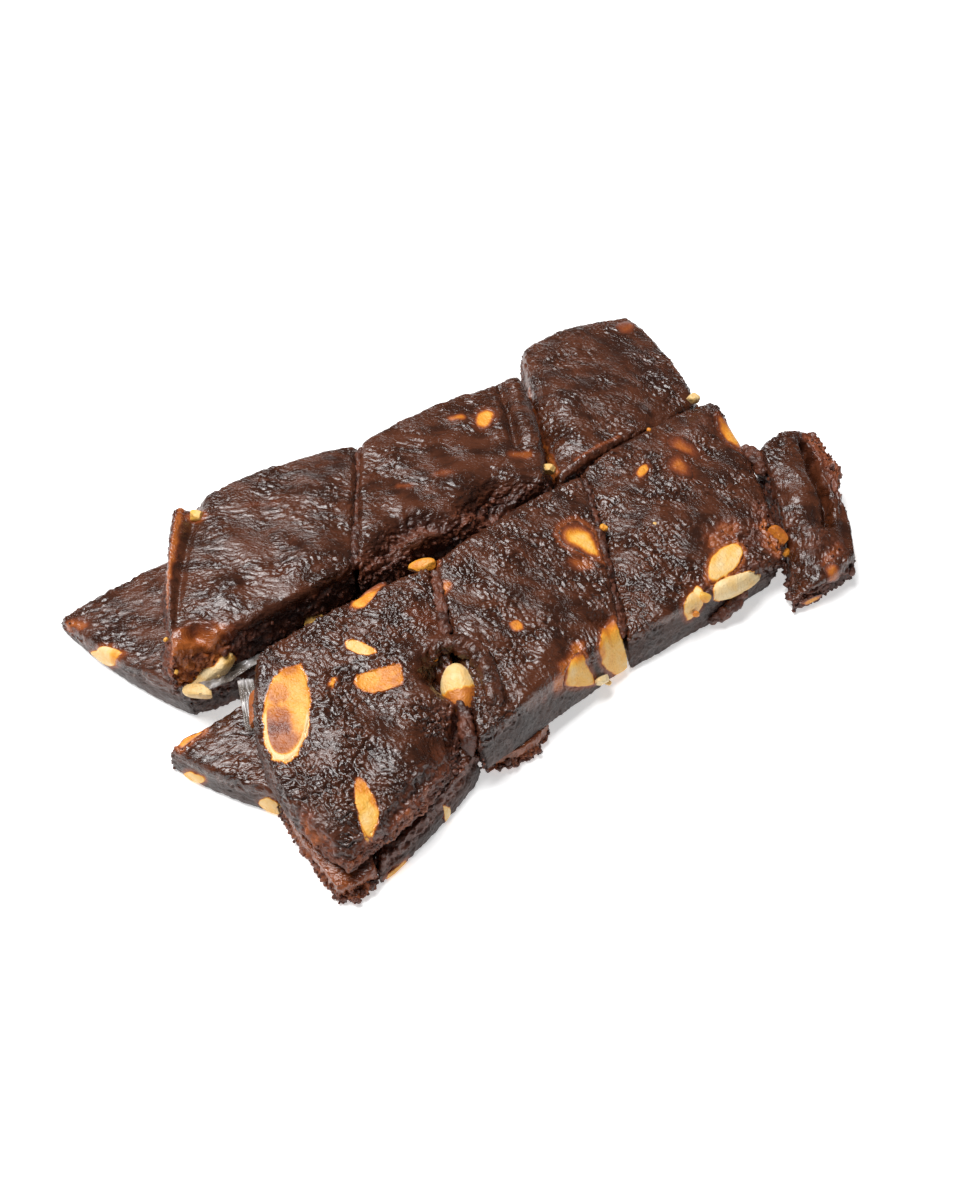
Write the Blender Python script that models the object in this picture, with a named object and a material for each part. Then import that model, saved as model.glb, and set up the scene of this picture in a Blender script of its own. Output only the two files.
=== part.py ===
"""Date and nut chikki: a cut slab of six diamonds lying on the pieces of a second layer.

Lengths are in millimetres until an object is made. +X runs along the two rows of
diamonds, +Y from the front row to the back row, and the stack stands on z = 0. The
places below are measured from the spot where the two cuts cross, and the whole is
then moved so that the origin lies under the middle of its box.
"""

import math
from dataclasses import dataclass

import bmesh
import bpy
import numpy as np
from mathutils import Euler, Matrix, Vector

MM = 0.001

# Driving dimensions
MIDDLE = (-1.60, 0.36)  # where the middle of the whole lies from the crossing cuts
CLEARANCE = 0.35        # gap kept between two solids that touch
LOWER_TOP = 9.9         # how high the lower pieces reach
SEAT = LOWER_TOP + 2.0 * CLEARANCE      # underside of the slab where it lies on them
FACE = (44.0, 42.0)     # usual length of a diamond's sides
EDGE_ROLL = 1.7         # radius of the soft upper edge
CORNER_ROUNDING = 0.10  # 0 leaves a diamond's corners sharp, 1 makes it a disc
CROWN = 0.5             # how far the middle of a top surface swells
LIP_WIDTH = 2.2         # how far the pulled-up ridge reaches in from its edge
SIDE_SWELL = 0.4        # how far a cut side bulges halfway down

# Relief that the hands and the knife left, as waves of these lengths and heights
RELIEF_WAVES = ((17.0, 0.42), (9.0, 0.26))
WAVES_EACH = 5
WAVE_GAIN = 1.6         # makes up for waves that cancel one another
MOST_RISE = 0.3         # relief on a top surface is cut off at this height
SIDE_RELIEF = 0.6       # share of the relief that a cut side has
SIDE_RELIEF_RANGE = (-0.6, 0.2)

# The strip of clear film that shows between the two rows
FILM = 0.45             # thickness
FILM_ENDS = ((-80.0, -2.0), (-47.0, 0.4))
FILM_HEIGHT = 11.4
FILM_HALF_WIDTHS = (2.6, 1.9)
FILM_WAVE = 0.5
FILM_WAVE_TURNS = 9.0   # radians of wave along the strip
FILM_STEPS = (12, 3)

# Grid steps along a diamond's side and down its cut face, and round and up a nut
UPPER_STEPS = 10
LOWER_STEPS = 7
SIDE_ROWS = 3
EDGE_GATHERING = 0.55   # 0 spaces a grid evenly, 1 gathers it most at the edges
NUT_AROUND = 10
NUT_ROWS = 6

PASTE = ("date_paste", (0.052, 0.020, 0.014), 0.32)
CRUMB = ("torn_date_paste", (0.110, 0.036, 0.018), 0.48)
AMBER = ("nut_under_paste", (0.760, 0.270, 0.030), 0.30)
CREAM = ("bare_nut", (0.800, 0.600, 0.290), 0.45)
CLEAR = ("clear_film", (0.900, 0.900, 0.900), 0.12)


@dataclass
class Diamond:
    """One cut piece. Corners go back left, back right, front right, front left."""

    name: str
    corners: tuple          # four (x, y)
    top: tuple              # height of the top surface at each corner
    floor: tuple            # height of the underside at each corner
    bow: tuple = (0.0, 0.0, 0.0, 0.0)   # swell of the back, right, front and left side
    foot: tuple = ((0.0, 0.0),) * 4     # how far the underside's corners are shifted
    lip: float = 0.0                    # height of the ridge along the left edge
    relief: float = 1.0
    steps: int = UPPER_STEPS
    finish: tuple = PASTE


@dataclass
class Nut:
    """One piece of nut: the middle, the full size, and turn, pitch and roll in degrees."""

    name: str
    at: tuple
    size: tuple
    turn: tuple
    boxy: float = 0.8       # 1 is an ellipsoid, smaller is squarer
    finish: tuple = AMBER


DIAMONDS = (
    # The slab on top, back row
    Diamond("top_back_left", ((-61.2, 43.0), (-14.2, 41.4), (-35.6, 6.4), (-79.0, 4.0)),
            (21.0, 20.5, 20.5, 21.0), (SEAT, SEAT, SEAT, SEAT), bow=(2.2, 0.0, 0.8, 0.6),
            foot=((-0.8, 0.0), (0.0, 0.0), (0.0, -0.8), (-0.8, -1.8)), lip=1.6),
    Diamond("top_back_middle", ((-13.3, 41.4), (34.2, 44.2), (17.8, 8.6), (-34.7, 5.4)),
            (20.5, 17.0, 17.0, 20.5), (SEAT, 6.6, 6.6, SEAT), bow=(1.8, 1.2, 0.0, 0.0),
            foot=((0.0, 0.0), (0.0, 0.0), (0.0, -0.8), (0.0, -0.8))),
    Diamond("top_back_right", ((43.8, 57.4), (77.4, 55.8), (70.8, 17.6), (22.8, 12.0)),
            (14.5, 11.2, 11.2, 15.0), (3.6, 0.0, 0.0, 4.0), bow=(1.0, 1.6, 0.0, 0.6)),
    # The slab on top, front row
    Diamond("top_front_left", ((-63.6, -4.2), (-20.4, -1.8), (-38.0, -45.6), (-70.8, -54.2)),
            (21.0, 20.5, 17.2, 15.0), (10.7, 10.7, 9.8, 7.6), bow=(0.4, 0.0, 0.5, 7.0)),
    Diamond("top_front_middle", ((-19.4, -1.4), (27.4, 7.0), (7.2, -36.4), (-36.0, -45.8)),
            (20.5, 16.7, 13.2, 17.0), (10.4, 6.4, 2.2, 6.4),
            bow=(0.6, 0.0, -0.6, -0.4), foot=((0.0, 0.0), (0.0, 0.0), (0.4, -2.4), (0.4, -1.8))),
    Diamond("top_front_right", ((28.6, 8.6), (74.2, 14.6), (53.8, -36.8), (8.4, -36.8)),
            (15.7, 11.4, 11.0, 12.8), (4.6, 0.6, 0.0, 1.2), bow=(0.4, 1.8, -0.3, 0.0),
            foot=((0.0, 0.0), (0.0, 0.0), (-3.4, 0.8), (0.0, -2.0))),
    # The layer below
    Diamond("low_left", ((-92.6, 42.2), (-39.6, 40.4), (-37.0, -2.6), (-78.0, 2.4)),
            (5.0, LOWER_TOP, LOWER_TOP, LOWER_TOP), (0.0, 0.0, 0.0, 0.0),
            bow=(1.0, 0.0, 0.0, 1.4), relief=0.5, steps=LOWER_STEPS),
    Diamond("low_middle", ((-38.2, 40.4), (10.0, 40.0), (29.0, 3.0), (-35.6, -2.4)),
            (LOWER_TOP, 6.8, 3.2, LOWER_TOP), (0.0, 0.0, 0.0, 0.0),
            relief=0.4, steps=LOWER_STEPS),
    Diamond("low_front_left", ((-87.8, -7.4), (-30.0, -4.4), (-34.0, -24.6), (-74.2, -30.0)),
            (8.4, LOWER_TOP, 8.8, 8.6), (0.0, 0.0, 0.0, 0.0),
            bow=(0.4, 0.0, 0.0, 0.6), relief=0.5, steps=LOWER_STEPS),
    Diamond("low_front_middle", ((-28.6, -3.8), (16.0, 0.4), (4.0, -24.0), (-32.4, -25.0)),
            (9.6, 5.6, 2.6, 6.4), (0.0, 0.0, 0.0, 0.0), relief=0.4, steps=LOWER_STEPS),
    Diamond("low_front_tip", ((-74.6, -31.4), (-55.6, -28.0), (-66.0, -55.2), (-74.2, -54.6)),
            (8.6, 9.0, 6.6, 6.4), (0.0, 0.0, 0.0, 0.0), bow=(0.0, 0.0, 1.4, 0.4),
            relief=0.4, steps=LOWER_STEPS, finish=CRUMB),
    Diamond("low_front_right", ((-54.2, -27.6), (-34.0, -26.2), (-34.8, -43.6), (-65.3, -54.8)),
            (9.2, 9.2, 9.0, 6.2), (0.0, 0.0, 0.0, 0.0), bow=(0.0, 0.0, 0.8, 0.0),
            foot=((0.0, 0.0), (0.0, 0.0), (0.0, -1.2), (0.0, -0.6)),
            relief=0.5, steps=LOWER_STEPS),
    Diamond("low_crumb_lump", ((-32.4, -27.0), (-14.6, -28.4), (-16.4, -43.0), (-33.4, -44.2)),
            (5.4, 4.2, 4.6, 5.6), (0.0, 0.0, 0.0, 0.0), bow=(0.0, 0.0, 2.2, 0.0),
            relief=0.6, steps=LOWER_STEPS, finish=CRUMB),
    Diamond("low_right", ((71.6, -5.8), (88.4, -7.6), (68.6, -44.6), (49.8, -45.4)),
            (12.6, 12.0, 9.0, 9.4), (0.0, 0.0, 0.0, 0.0), bow=(2.0, 3.0, 0.6, -1.2),
            foot=((0.6, 0.0), (0.8, 0.0), (0.8, 0.4), (0.4, 0.4)),
            relief=1.3, steps=LOWER_STEPS, finish=CRUMB),
)

NUTS = (
    Nut("nut_split_almond", (-65.2, -20.2, 18.7), (24.6, 10.4, 4.6), (-126.0, 2.0, -12.0), 0.85),
    Nut("nut_oval", (-45.3, -15.6, 19.2), (7.2, 3.8, 3.2), (-56.0, 4.0, 0.0), 0.9),
    Nut("nut_block", (-46.3, -23.8, 18.8), (9.8, 6.2, 3.6), (-17.0, 0.0, 4.0), 0.55),
    Nut("nut_sliver", (-62.8, -46.6, 15.2), (14.0, 4.8, 3.6), (-111.0, 8.0, 10.0), 0.75),
    Nut("nut_back_edge", (-34.6, -4.4, 19.8), (9.6, 4.4, 3.2), (8.0, 0.0, -14.0), 0.75),
    Nut("nut_in_hollow", (-31.0, -30.6, 15.8), (10.6, 7.6, 7.0), (-118.0, 20.0, 0.0), 0.9),
    Nut("nut_at_cut", (-21.6, -2.4, 19.8), (5.0, 4.6, 3.4), (-30.0, 0.0, 0.0), 0.75),
    Nut("nut_bright", (13.1, -11.8, 15.2), (13.6, 7.4, 3.6), (-72.0, 6.0, 4.0), 0.85),
    Nut("nut_small_gold", (-13.3, -25.6, 16.7), (4.8, 4.2, 2.6), (-25.0, 4.0, 0.0), 0.85),
    Nut("nut_front_gold", (-5.2, -39.8, 11.2), (8.4, 7.4, 3.4), (-100.0, 52.0, 0.0), 0.7),
    Nut("nut_front_tall", (3.8, -36.8, 9.8), (13.0, 8.0, 3.6), (-98.0, 60.0, 0.0), 0.6),
    Nut("nut_yellow", (39.1, 0.7, 13.9), (4.6, 4.2, 2.6), (-20.0, 4.0, 0.0), 0.75),
    Nut("nut_orange_one", (48.7, -1.6, 13.3), (5.4, 4.4, 2.6), (-20.0, 4.0, 0.0), 0.8),
    Nut("nut_orange_two", (55.6, 5.2, 12.9), (5.4, 4.2, 2.6), (-55.0, 0.0, 0.0), 0.8),
    Nut("nut_right_edge", (62.6, -3.0, 11.2), (9.6, 4.6, 3.4), (-100.0, 0.0, 20.0), 0.8),
    Nut("nut_front_tan", (38.4, -33.4, 10.2), (11.4, 5.4, 4.0), (4.0, 0.0, 36.0), 0.7, CREAM),
    Nut("nut_front_cream", (39.2, -37.8, 6.6), (12.8, 4.4, 3.2), (0.0, -4.0, 60.0), 0.6, CREAM),
    Nut("nut_front_wedge", (28.4, -37.0, 6.4), (7.2, 4.2, 3.2), (0.0, 40.0, 70.0), 0.6),
    Nut("nut_corner_rim", (-72.0, 2.2, 14.8), (9.4, 5.0, 3.2), (8.0, 0.0, 58.0), 0.6, CREAM),
    Nut("nut_back_gold", (16.9, 33.5, 17.6), (6.8, 6.0, 3.2), (5.0, 4.0, 0.0), 0.8),
    Nut("nut_back_red", (72.0, 51.2, 10.6), (8.0, 6.6, 3.0), (6.0, 0.0, 0.0), 0.85),
    Nut("nut_back_edge_orange", (71.6, 28.6, 9.8), (8.4, 5.4, 3.2), (-100.0, 0.0, 26.0), 0.8),
    Nut("nut_low_left", (-87.4, 26.6, 5.4), (7.6, 4.4, 3.2), (-66.0, 0.0, -56.0), 0.65, CREAM),
    Nut("nut_low_amber", (-82.6, -7.6, 8.0), (5.8, 4.6, 3.2), (10.0, 0.0, -10.0), 0.7),
    Nut("nut_low_tan", (-85.0, -13.4, 3.6), (5.8, 3.0, 2.8), (-58.0, 0.0, -60.0), 0.7, CREAM),
    Nut("nut_low_pale", (-74.4, -28.0, 3.8), (6.2, 3.4, 2.8), (-62.0, 0.0, -60.0), 0.7, CREAM),
    Nut("nut_low_front", (-61.6, -55.0, 2.6), (6.4, 3.0, 2.8), (22.0, 0.0, 60.0), 0.6, CREAM),
)


def clear_scene():
    for obj in list(bpy.data.objects):
        bpy.data.objects.remove(obj, do_unlink=True)


def material(finish):
    """The Principled material of this finish, made once."""
    name, colour, roughness = finish
    made = bpy.data.materials.get(name)
    if made:
        return made
    made = bpy.data.materials.new(name)
    made.use_nodes = True
    shader = made.node_tree.nodes["Principled BSDF"]
    shader.inputs["Base Color"].default_value = (*colour, 1.0)
    shader.inputs["Roughness"].default_value = roughness
    shader.inputs["Metallic"].default_value = 0.0
    made.diffuse_color = (*colour, 1.0)
    return made


def new_object(name, points, faces, finish):
    """A mesh object from points in millimetres."""
    mesh = bpy.data.meshes.new(name)
    mesh.from_pydata((np.asarray(points) * MM).tolist(), [], faces)
    skin = bmesh.new()
    skin.from_mesh(mesh)
    bmesh.ops.recalc_face_normals(skin, faces=skin.faces)
    skin.to_mesh(mesh)
    skin.free()
    mesh.materials.append(material(finish))
    mesh.shade_smooth()
    mesh.set_sharp_from_angle(angle=math.radians(40.0))
    obj = bpy.data.objects.new(name, mesh)
    bpy.context.scene.collection.objects.link(obj)
    obj.parent = bpy.data.objects["whole"]
    return obj


def add_whole():
    """The empty that carries every piece, moved so the origin is under the middle."""
    whole = bpy.data.objects.new("whole", None)
    whole.location = (-MIDDLE[0] * MM, -MIDDLE[1] * MM, 0.0)
    bpy.context.scene.collection.objects.link(whole)


def seed_of(name):
    """A number that stays the same for a name."""
    return sum((place + 1) * ord(letter) for place, letter in enumerate(name)) % 9973


def lumps(points, wavelength, height, seed):
    """Slow swells: a sum of plane waves in directions and phases drawn from the seed."""
    draw = np.random.default_rng(seed)
    heading = draw.normal(size=(WAVES_EACH, 3))
    heading /= np.linalg.norm(heading, axis=1, keepdims=True)
    phase = draw.uniform(0.0, 2.0 * np.pi, WAVES_EACH)
    stretch = draw.uniform(0.75, 1.3, WAVES_EACH)
    angle = points @ (heading * stretch[:, None]).T * (2.0 * np.pi / wavelength) + phase
    return WAVE_GAIN * height * np.sin(angle).mean(axis=-1)


def relief(points, piece):
    """How far the surface of this piece stands out at the points."""
    seed = seed_of(piece.name)
    swells = (lumps(points, wave, height, seed + order)
              for order, (wave, height) in enumerate(RELIEF_WAVES))
    return piece.relief * sum(swells)


def side_curves(piece):
    """The four sides as functions of a share 0 to 1: back, right, front and left."""
    corners = np.array(piece.corners)
    middle = corners.mean(axis=0)

    def side(start, end, bow):
        run = end - start
        outward = np.array([run[1], -run[0]]) / np.linalg.norm(run)
        if outward @ ((start + end) / 2 - middle) < 0:
            outward = -outward

        def curve(share):
            share = share[..., None]
            return start + run * share + outward * bow * 4.0 * share * (1.0 - share)

        return curve

    back_left, back_right, front_right, front_left = corners
    return (side(back_left, back_right, piece.bow[0]), side(back_right, front_right, piece.bow[1]),
            side(front_left, front_right, piece.bow[2]), side(back_left, front_left, piece.bow[3]))


def blend_corners(values, across, down):
    """Bilinear mix of four corner values."""
    back = values[0] * (1.0 - across) + values[1] * across
    front = values[3] * (1.0 - across) + values[2] * across
    return back * (1.0 - down) + front * down


def rounded(across, down):
    """Shares 0 to 1 whose corners are drawn in, so the outline has no sharp corner."""
    a, b = 2.0 * across - 1.0, 2.0 * down - 1.0
    drawn_a = a * np.sqrt(1.0 - CORNER_ROUNDING * b * b / 2.0)
    drawn_b = b * np.sqrt(1.0 - CORNER_ROUNDING * a * a / 2.0)
    return (drawn_a + 1.0) / 2.0, (drawn_b + 1.0) / 2.0


def outline_point(piece, across, down):
    """Where the shares fall in plan, as a patch stretched between the four sides."""
    back, right, front, left = side_curves(piece)
    across, down = rounded(across, down)
    u, v = across[..., None], down[..., None]
    corners = [np.array(corner) for corner in piece.corners]
    return ((1.0 - v) * back(across) + v * front(across) + (1.0 - u) * left(down)
            + u * right(down) - blend_corners(corners, u, v))


def edge_spaced(steps):
    """Shares 0 to 1 that lie closer together near both ends."""
    even = np.linspace(0.0, 1.0, steps + 1)
    gathered = (1.0 - np.cos(np.pi * even)) / 2.0
    return (1.0 - EDGE_GATHERING) * even + EDGE_GATHERING * gathered


def top_surface(piece, across, down):
    """The top: level between the corners, swollen in the middle and rolled off at the edges."""
    plan = outline_point(piece, across, down)
    near_x = np.minimum(across, 1.0 - across) * FACE[0]
    near_y = np.minimum(down, 1.0 - down) * FACE[1]
    roll_x = np.clip(1.0 - near_x / EDGE_ROLL, 0.0, 1.0)
    roll_y = np.clip(1.0 - near_y / EDGE_ROLL, 0.0, 1.0)
    reach = np.clip(roll_x**2 + roll_y**2, 0.0, 1.0)
    roll = EDGE_ROLL * (1.0 - np.sqrt(1.0 - reach))
    swell = 16.0 * across * (1.0 - across) * down * (1.0 - down)
    lip = piece.lip * np.exp(-((across * FACE[0] / LIP_WIDTH) ** 2))
    height = blend_corners(piece.top, across, down) + CROWN * piece.relief * swell + lip - roll
    points = np.concatenate([plan, height[..., None]], axis=-1)
    points[..., 2] += np.minimum(relief(points, piece), MOST_RISE) * (1.0 - 0.6 * reach)
    return points


def diamond_mesh(piece):
    """The closed solid: top grid, side rows down to the underside, and a fan below."""
    steps = piece.steps
    shares = edge_spaced(steps)
    down, across = np.meshgrid(shares, shares, indexing="ij")
    top = top_surface(piece, across, down)
    index = np.arange((steps + 1) ** 2).reshape(steps + 1, steps + 1)
    ring = np.concatenate([index[0, :-1], index[:-1, -1], index[-1, :0:-1], index[:0:-1, 0]])
    points = top.reshape(-1, 3)
    faces = [(index[i, j], index[i + 1, j], index[i + 1, j + 1], index[i, j + 1])
             for i in range(steps) for j in range(steps)]
    rim = points[ring]
    middle = rim.mean(axis=0)
    flat_across, flat_down = across.reshape(-1)[ring], down.reshape(-1)[ring]
    below = blend_corners(piece.floor, flat_across, flat_down)
    shift = blend_corners(np.array(piece.foot), flat_across[:, None], flat_down[:, None])
    outward = rim[:, :2] - middle[:2]
    outward /= np.linalg.norm(outward, axis=1, keepdims=True)
    rows = [points]
    above = ring
    for row in range(1, SIDE_ROWS + 1):
        share = row / SIDE_ROWS
        level = rim.copy()
        level[:, 2] = rim[:, 2] * (1.0 - share) + below * share
        level[:, :2] += shift * share
        if row < SIDE_ROWS:
            hollow = SIDE_RELIEF * np.clip(relief(level, piece), *SIDE_RELIEF_RANGE)
            push = SIDE_SWELL * np.sin(np.pi * share) + hollow
            level[:, :2] += outward * push[:, None]
        start = sum(len(block) for block in rows)
        rows.append(level)
        lower = np.arange(start, start + len(ring))
        faces += [(above[k], above[k - 1], lower[k - 1], lower[k]) for k in range(len(ring))]
        above = lower
    centre = sum(len(block) for block in rows)
    rows.append(rows[-1].mean(axis=0, keepdims=True))
    faces += [(above[k], above[k - 1], centre) for k in range(len(ring))]
    return np.concatenate(rows), [tuple(int(i) for i in face) for face in faces]


def nut_mesh(size, boxy):
    """A closed superellipsoid of this full size, squarer as boxy falls."""

    def powered(value):
        return np.sign(value) * np.abs(value) ** boxy

    lift = np.linspace(-np.pi / 2, np.pi / 2, NUT_ROWS + 1)[1:-1]
    turn = np.linspace(0.0, 2.0 * np.pi, NUT_AROUND, endpoint=False)
    lift, turn = np.meshgrid(lift, turn, indexing="ij")
    half = np.array(size) / 2.0
    points = np.stack([half[0] * powered(np.cos(lift)) * powered(np.cos(turn)),
                       half[1] * powered(np.cos(lift)) * powered(np.sin(turn)),
                       half[2] * powered(np.sin(lift))], axis=-1).reshape(-1, 3)
    bottom, top = len(points), len(points) + 1
    points = np.concatenate([points, [[0.0, 0.0, -half[2]], [0.0, 0.0, half[2]]]])
    faces = []
    for row in range(NUT_ROWS - 2):
        for k in range(NUT_AROUND):
            after = (k + 1) % NUT_AROUND
            low, high = row * NUT_AROUND, (row + 1) * NUT_AROUND
            faces.append((low + k, low + after, high + after, high + k))
    last = (NUT_ROWS - 2) * NUT_AROUND
    for k in range(NUT_AROUND):
        after = (k + 1) % NUT_AROUND
        faces.append((after, k, bottom))
        faces.append((last + k, last + after, top))
    return points, faces


def place(obj, nut):
    """Sets the nut's place and how it lies: pitch and roll first, then its turn."""
    turn, pitch, roll = (math.radians(angle) for angle in nut.turn)
    tilt = Euler((roll, pitch, 0.0)).to_matrix()
    facing = Matrix.Rotation(turn, 3, "Z") @ tilt
    obj.location = Vector(nut.at) * MM
    obj.rotation_euler = facing.to_euler()


def add_nut(nut):
    obj = new_object(nut.name, *nut_mesh(nut.size, nut.boxy), nut.finish)
    place(obj, nut)
    return obj


def add_pocket(nut):
    """The cutter that leaves a nut its bed, a clearance larger all round."""
    roomy = tuple(side + 2.0 * CLEARANCE for side in nut.size)
    obj = new_object("pocket_" + nut.name, *nut_mesh(roomy, nut.boxy), PASTE)
    place(obj, nut)
    obj.hide_render = True
    obj.display_type = "WIRE"
    return obj


def near(obj, other):
    """True where two objects' boxes meet."""
    boxes = []
    for item in (obj, other):
        corners = np.array([item.matrix_world @ Vector(corner) for corner in item.bound_box])
        boxes.append((corners.min(axis=0), corners.max(axis=0)))
    (low_a, high_a), (low_b, high_b) = boxes
    return bool(((low_a <= high_b) & (low_b <= high_a)).all())


def cut_pockets(diamonds, pockets):
    for body in diamonds:
        for pocket in pockets:
            if near(body, pocket):
                cut = body.modifiers.new(pocket.name, "BOOLEAN")
                cut.operation = "DIFFERENCE"
                cut.solver = "EXACT"
                cut.object = pocket


def film_faces(rows, columns):
    """Both skins of a sheet of this many points, split alike, and the rim between them."""
    index = np.arange(rows * columns).reshape(rows, columns)
    ring = np.concatenate([index[0, :-1], index[:-1, -1], index[-1, :0:-1], index[:0:-1, 0]])
    under = rows * columns
    faces = []
    for i in range(rows - 1):
        for j in range(columns - 1):
            a, b, c, d = index[i, j], index[i, j + 1], index[i + 1, j + 1], index[i + 1, j]
            faces += [(a, b, c), (a, c, d), (c + under, b + under, a + under),
                      (d + under, c + under, a + under)]
    for before, here in zip(np.roll(ring, 1), ring):
        faces += [(before, here, here + under), (before, here + under, before + under)]
    return [tuple(int(i) for i in face) for face in faces]


def add_film():
    """The strip of clear film, a thin waved sheet that narrows to the right."""
    along, over = FILM_STEPS
    start, end = np.array(FILM_ENDS)
    share = np.linspace(0.0, 1.0, along + 1)
    down, across = np.meshgrid(np.linspace(-1.0, 1.0, over + 1), share, indexing="ij")
    plan = start + (end - start) * across[..., None]
    half_width = FILM_HALF_WIDTHS[0] * (1.0 - across) + FILM_HALF_WIDTHS[1] * across
    height = FILM_HEIGHT + FILM_WAVE * np.sin(across * FILM_WAVE_TURNS + down * 1.4)
    points = np.stack([plan[..., 0], plan[..., 1] + down * half_width, height], axis=-1)
    points = points.reshape(-1, 3)
    thick = np.array([0.0, 0.0, FILM / 2.0])
    both = np.concatenate([points + thick, points - thick])
    return new_object("clear_film", both, film_faces(over + 1, along + 1), CLEAR)


def main():
    clear_scene()
    add_whole()
    diamonds = [new_object(piece.name, *diamond_mesh(piece), piece.finish) for piece in DIAMONDS]
    pockets = [add_pocket(nut) for nut in NUTS]
    for nut in NUTS:
        add_nut(nut)
    bpy.context.view_layer.update()
    cut_pockets(diamonds, pockets)
    add_film()


if __name__ == "__main__":
    main()
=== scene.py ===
"""Looks of a date and nut chikki: a cut slab of sticky date paste on a second layer of it.

Lengths in the tables are millimetres from the spot where the two cuts of the slab cross.
+X runs along the two rows of diamonds, +Y from the front row to the back row, +Z up.
"""

import math
from dataclasses import dataclass
from itertools import product

import bpy
import numpy as np
from bpy.props import FloatProperty, FloatVectorProperty, PointerProperty
from mathutils import Euler, Matrix, Vector


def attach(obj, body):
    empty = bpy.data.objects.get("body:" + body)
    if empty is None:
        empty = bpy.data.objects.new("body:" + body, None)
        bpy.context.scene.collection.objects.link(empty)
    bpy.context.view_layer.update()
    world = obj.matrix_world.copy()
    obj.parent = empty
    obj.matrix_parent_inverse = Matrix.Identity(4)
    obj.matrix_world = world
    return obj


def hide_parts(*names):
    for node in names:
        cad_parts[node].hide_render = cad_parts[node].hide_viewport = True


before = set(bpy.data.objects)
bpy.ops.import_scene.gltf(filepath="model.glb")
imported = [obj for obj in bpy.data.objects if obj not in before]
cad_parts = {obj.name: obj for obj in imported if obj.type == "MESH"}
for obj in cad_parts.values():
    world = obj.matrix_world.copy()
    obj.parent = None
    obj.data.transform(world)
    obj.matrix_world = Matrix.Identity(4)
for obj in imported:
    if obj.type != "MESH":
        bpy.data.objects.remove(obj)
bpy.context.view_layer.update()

bl_info = {
    "name": "Date and Nut Chikki",
    "version": (1, 0, 0),
    "blender": (4, 5, 0),
    "location": "3D View > Sidebar > Chikki",
    "description": "Builds the paste, the nuts, the crumbs and the stage of a date and nut chikki",
    "category": "Add Mesh",
}

BODY = "root"
MM = 0.001

# Driving dimensions, as in the solids
MIDDLE = (-1.60, 0.36)
LOWER_TOP = 9.9
SEAT = 10.6
FACE = (44.0, 42.0)
EDGE_ROLL = 1.7
CORNER_ROUNDING = 0.10
CROWN = 0.5
LIP_WIDTH = 2.2
SIDE_SWELL = 0.4
RELIEF_WAVES = ((17.0, 0.42), (9.0, 0.26))
WAVES_EACH = 5
WAVE_GAIN = 1.6
MOST_RISE = 0.3
SIDE_RELIEF = 0.6
SIDE_RELIEF_RANGE = (-0.6, 0.2)
EDGE_GATHERING = 0.3

# How finely the surfaces are made
UPPER_STEPS = (190, 38)
LOWER_STEPS = (104, 30)
UNDER_ROWS = 8
FOOT_ROLL = 0.8         # radius of the soft lower edge
SINKING = 0.5           # how far the slab settles onto the layer below
SQUEEZE = 1.022         # soft pieces spread until they meet across the cuts
SHOULDER = 4.5          # how far a sagging shoulder reaches in from the edge
TOP, BACK, RIGHT, FRONT, LEFT = -1, 0, 1, 2, 3
SIDE_ENDS = ((0, 1), (1, 2), (3, 2), (0, 3))    # the corners that each side runs between

ROUNDING = 7.0          # how sharp the corners of an outline stay

# Layers of noise, each a height or a share of it, and a size in mm
TORN_LUMPS = ((0.5, 2.8), (0.3, 1.4), (0.2, 0.75))
STRAND_LUMPS = ((0.9, 3.0), (0.5, 1.4))
EDGE_WANDER = ((0.8, 3.0), (0.4, 1.2))
WRINKLED_PATCHES = ((1.1, 9.0), (0.4, 4.0))
WINDOW_BORDER = ((0.10, 2.4), (0.05, 0.9))
WINDOW_MOTTLE = ((0.09, 2.6), (0.05, 0.8))
WINDOW_UNEVEN = ((0.07, 2.2), (0.04, 0.8))
CHUNK_MOTTLE = ((0.08, 2.4), (0.05, 0.8))
CHUNK_UNEVEN = ((0.14, 2.6), (0.05, 0.9))

# The skin of the paste. A wrinkle is a share of the wrinkle height and a size in mm
LUMPS_SUNK = 0.15       # how far the torn lumps lie below the skin on the whole
WRINKLE_WEB = (0.5, 1.5)
WRINKLE_FOLDS = (0.32, 0.8)
WRINKLE_FLECKS = (0.3, 0.55)
DENT_DEPTH, DENT_SIZE = 0.16, 6.0
EDGE_WIDTH = 0.9        # how wide the border between the top and a torn or cut side is
BED_DEPTH = 0.5         # how far the paste sinks below a nut that shows in it
GLOW_REACH = 1.3        # how far a nut's glow reaches into the paste round it

# Nuts, strands and crumbs
NUT_STEPS = (40, 80)
CHUNK_STEPS = (40, 56)
BIT_STEPS = (14, 20)
CRUMB_STEPS = (5, 8)
CRUMB_SEED = 23
CRUMBS_EACH = 110
CRUMB_SIZE = (-0.75, 0.45)      # mean and spread of the logarithm of a crumb's size
STRAND_STEP = 0.25
STRAND_SIDES = 40

FILM_STEPS = (24, 60)
FILM_THICKNESS = 0.12
# Corners of the clear film, left back, right back, right front, left front
FILM_STRIP = ((-76.4, 2.0, 11.0), (-50.0, 3.2, 10.6), (-50.0, 1.4, 10.6), (-77.0, -1.2, 10.7))
FILM_TAB = ((-69.0, -3.2, 12.2), (-66.0, -4.6, 13.0), (-69.6, -15.0, 10.6), (-73.0, -14.4, 9.8))

# The camera aims at the middle of the photograph's frame
CAMERA_AIM = (-10.9, -11.36, 11.0)
LENS, SENSOR = 43.2, 36.0
LAMP_PLACE = (-0.16, 0.18, 0.70)
LAMP_SIZE = 0.50
FLOOR_HALF = 2.0

GRADIENTS = np.random.default_rng(11).normal(size=(256, 3))
GRADIENTS /= np.linalg.norm(GRADIENTS, axis=1, keepdims=True)


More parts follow.
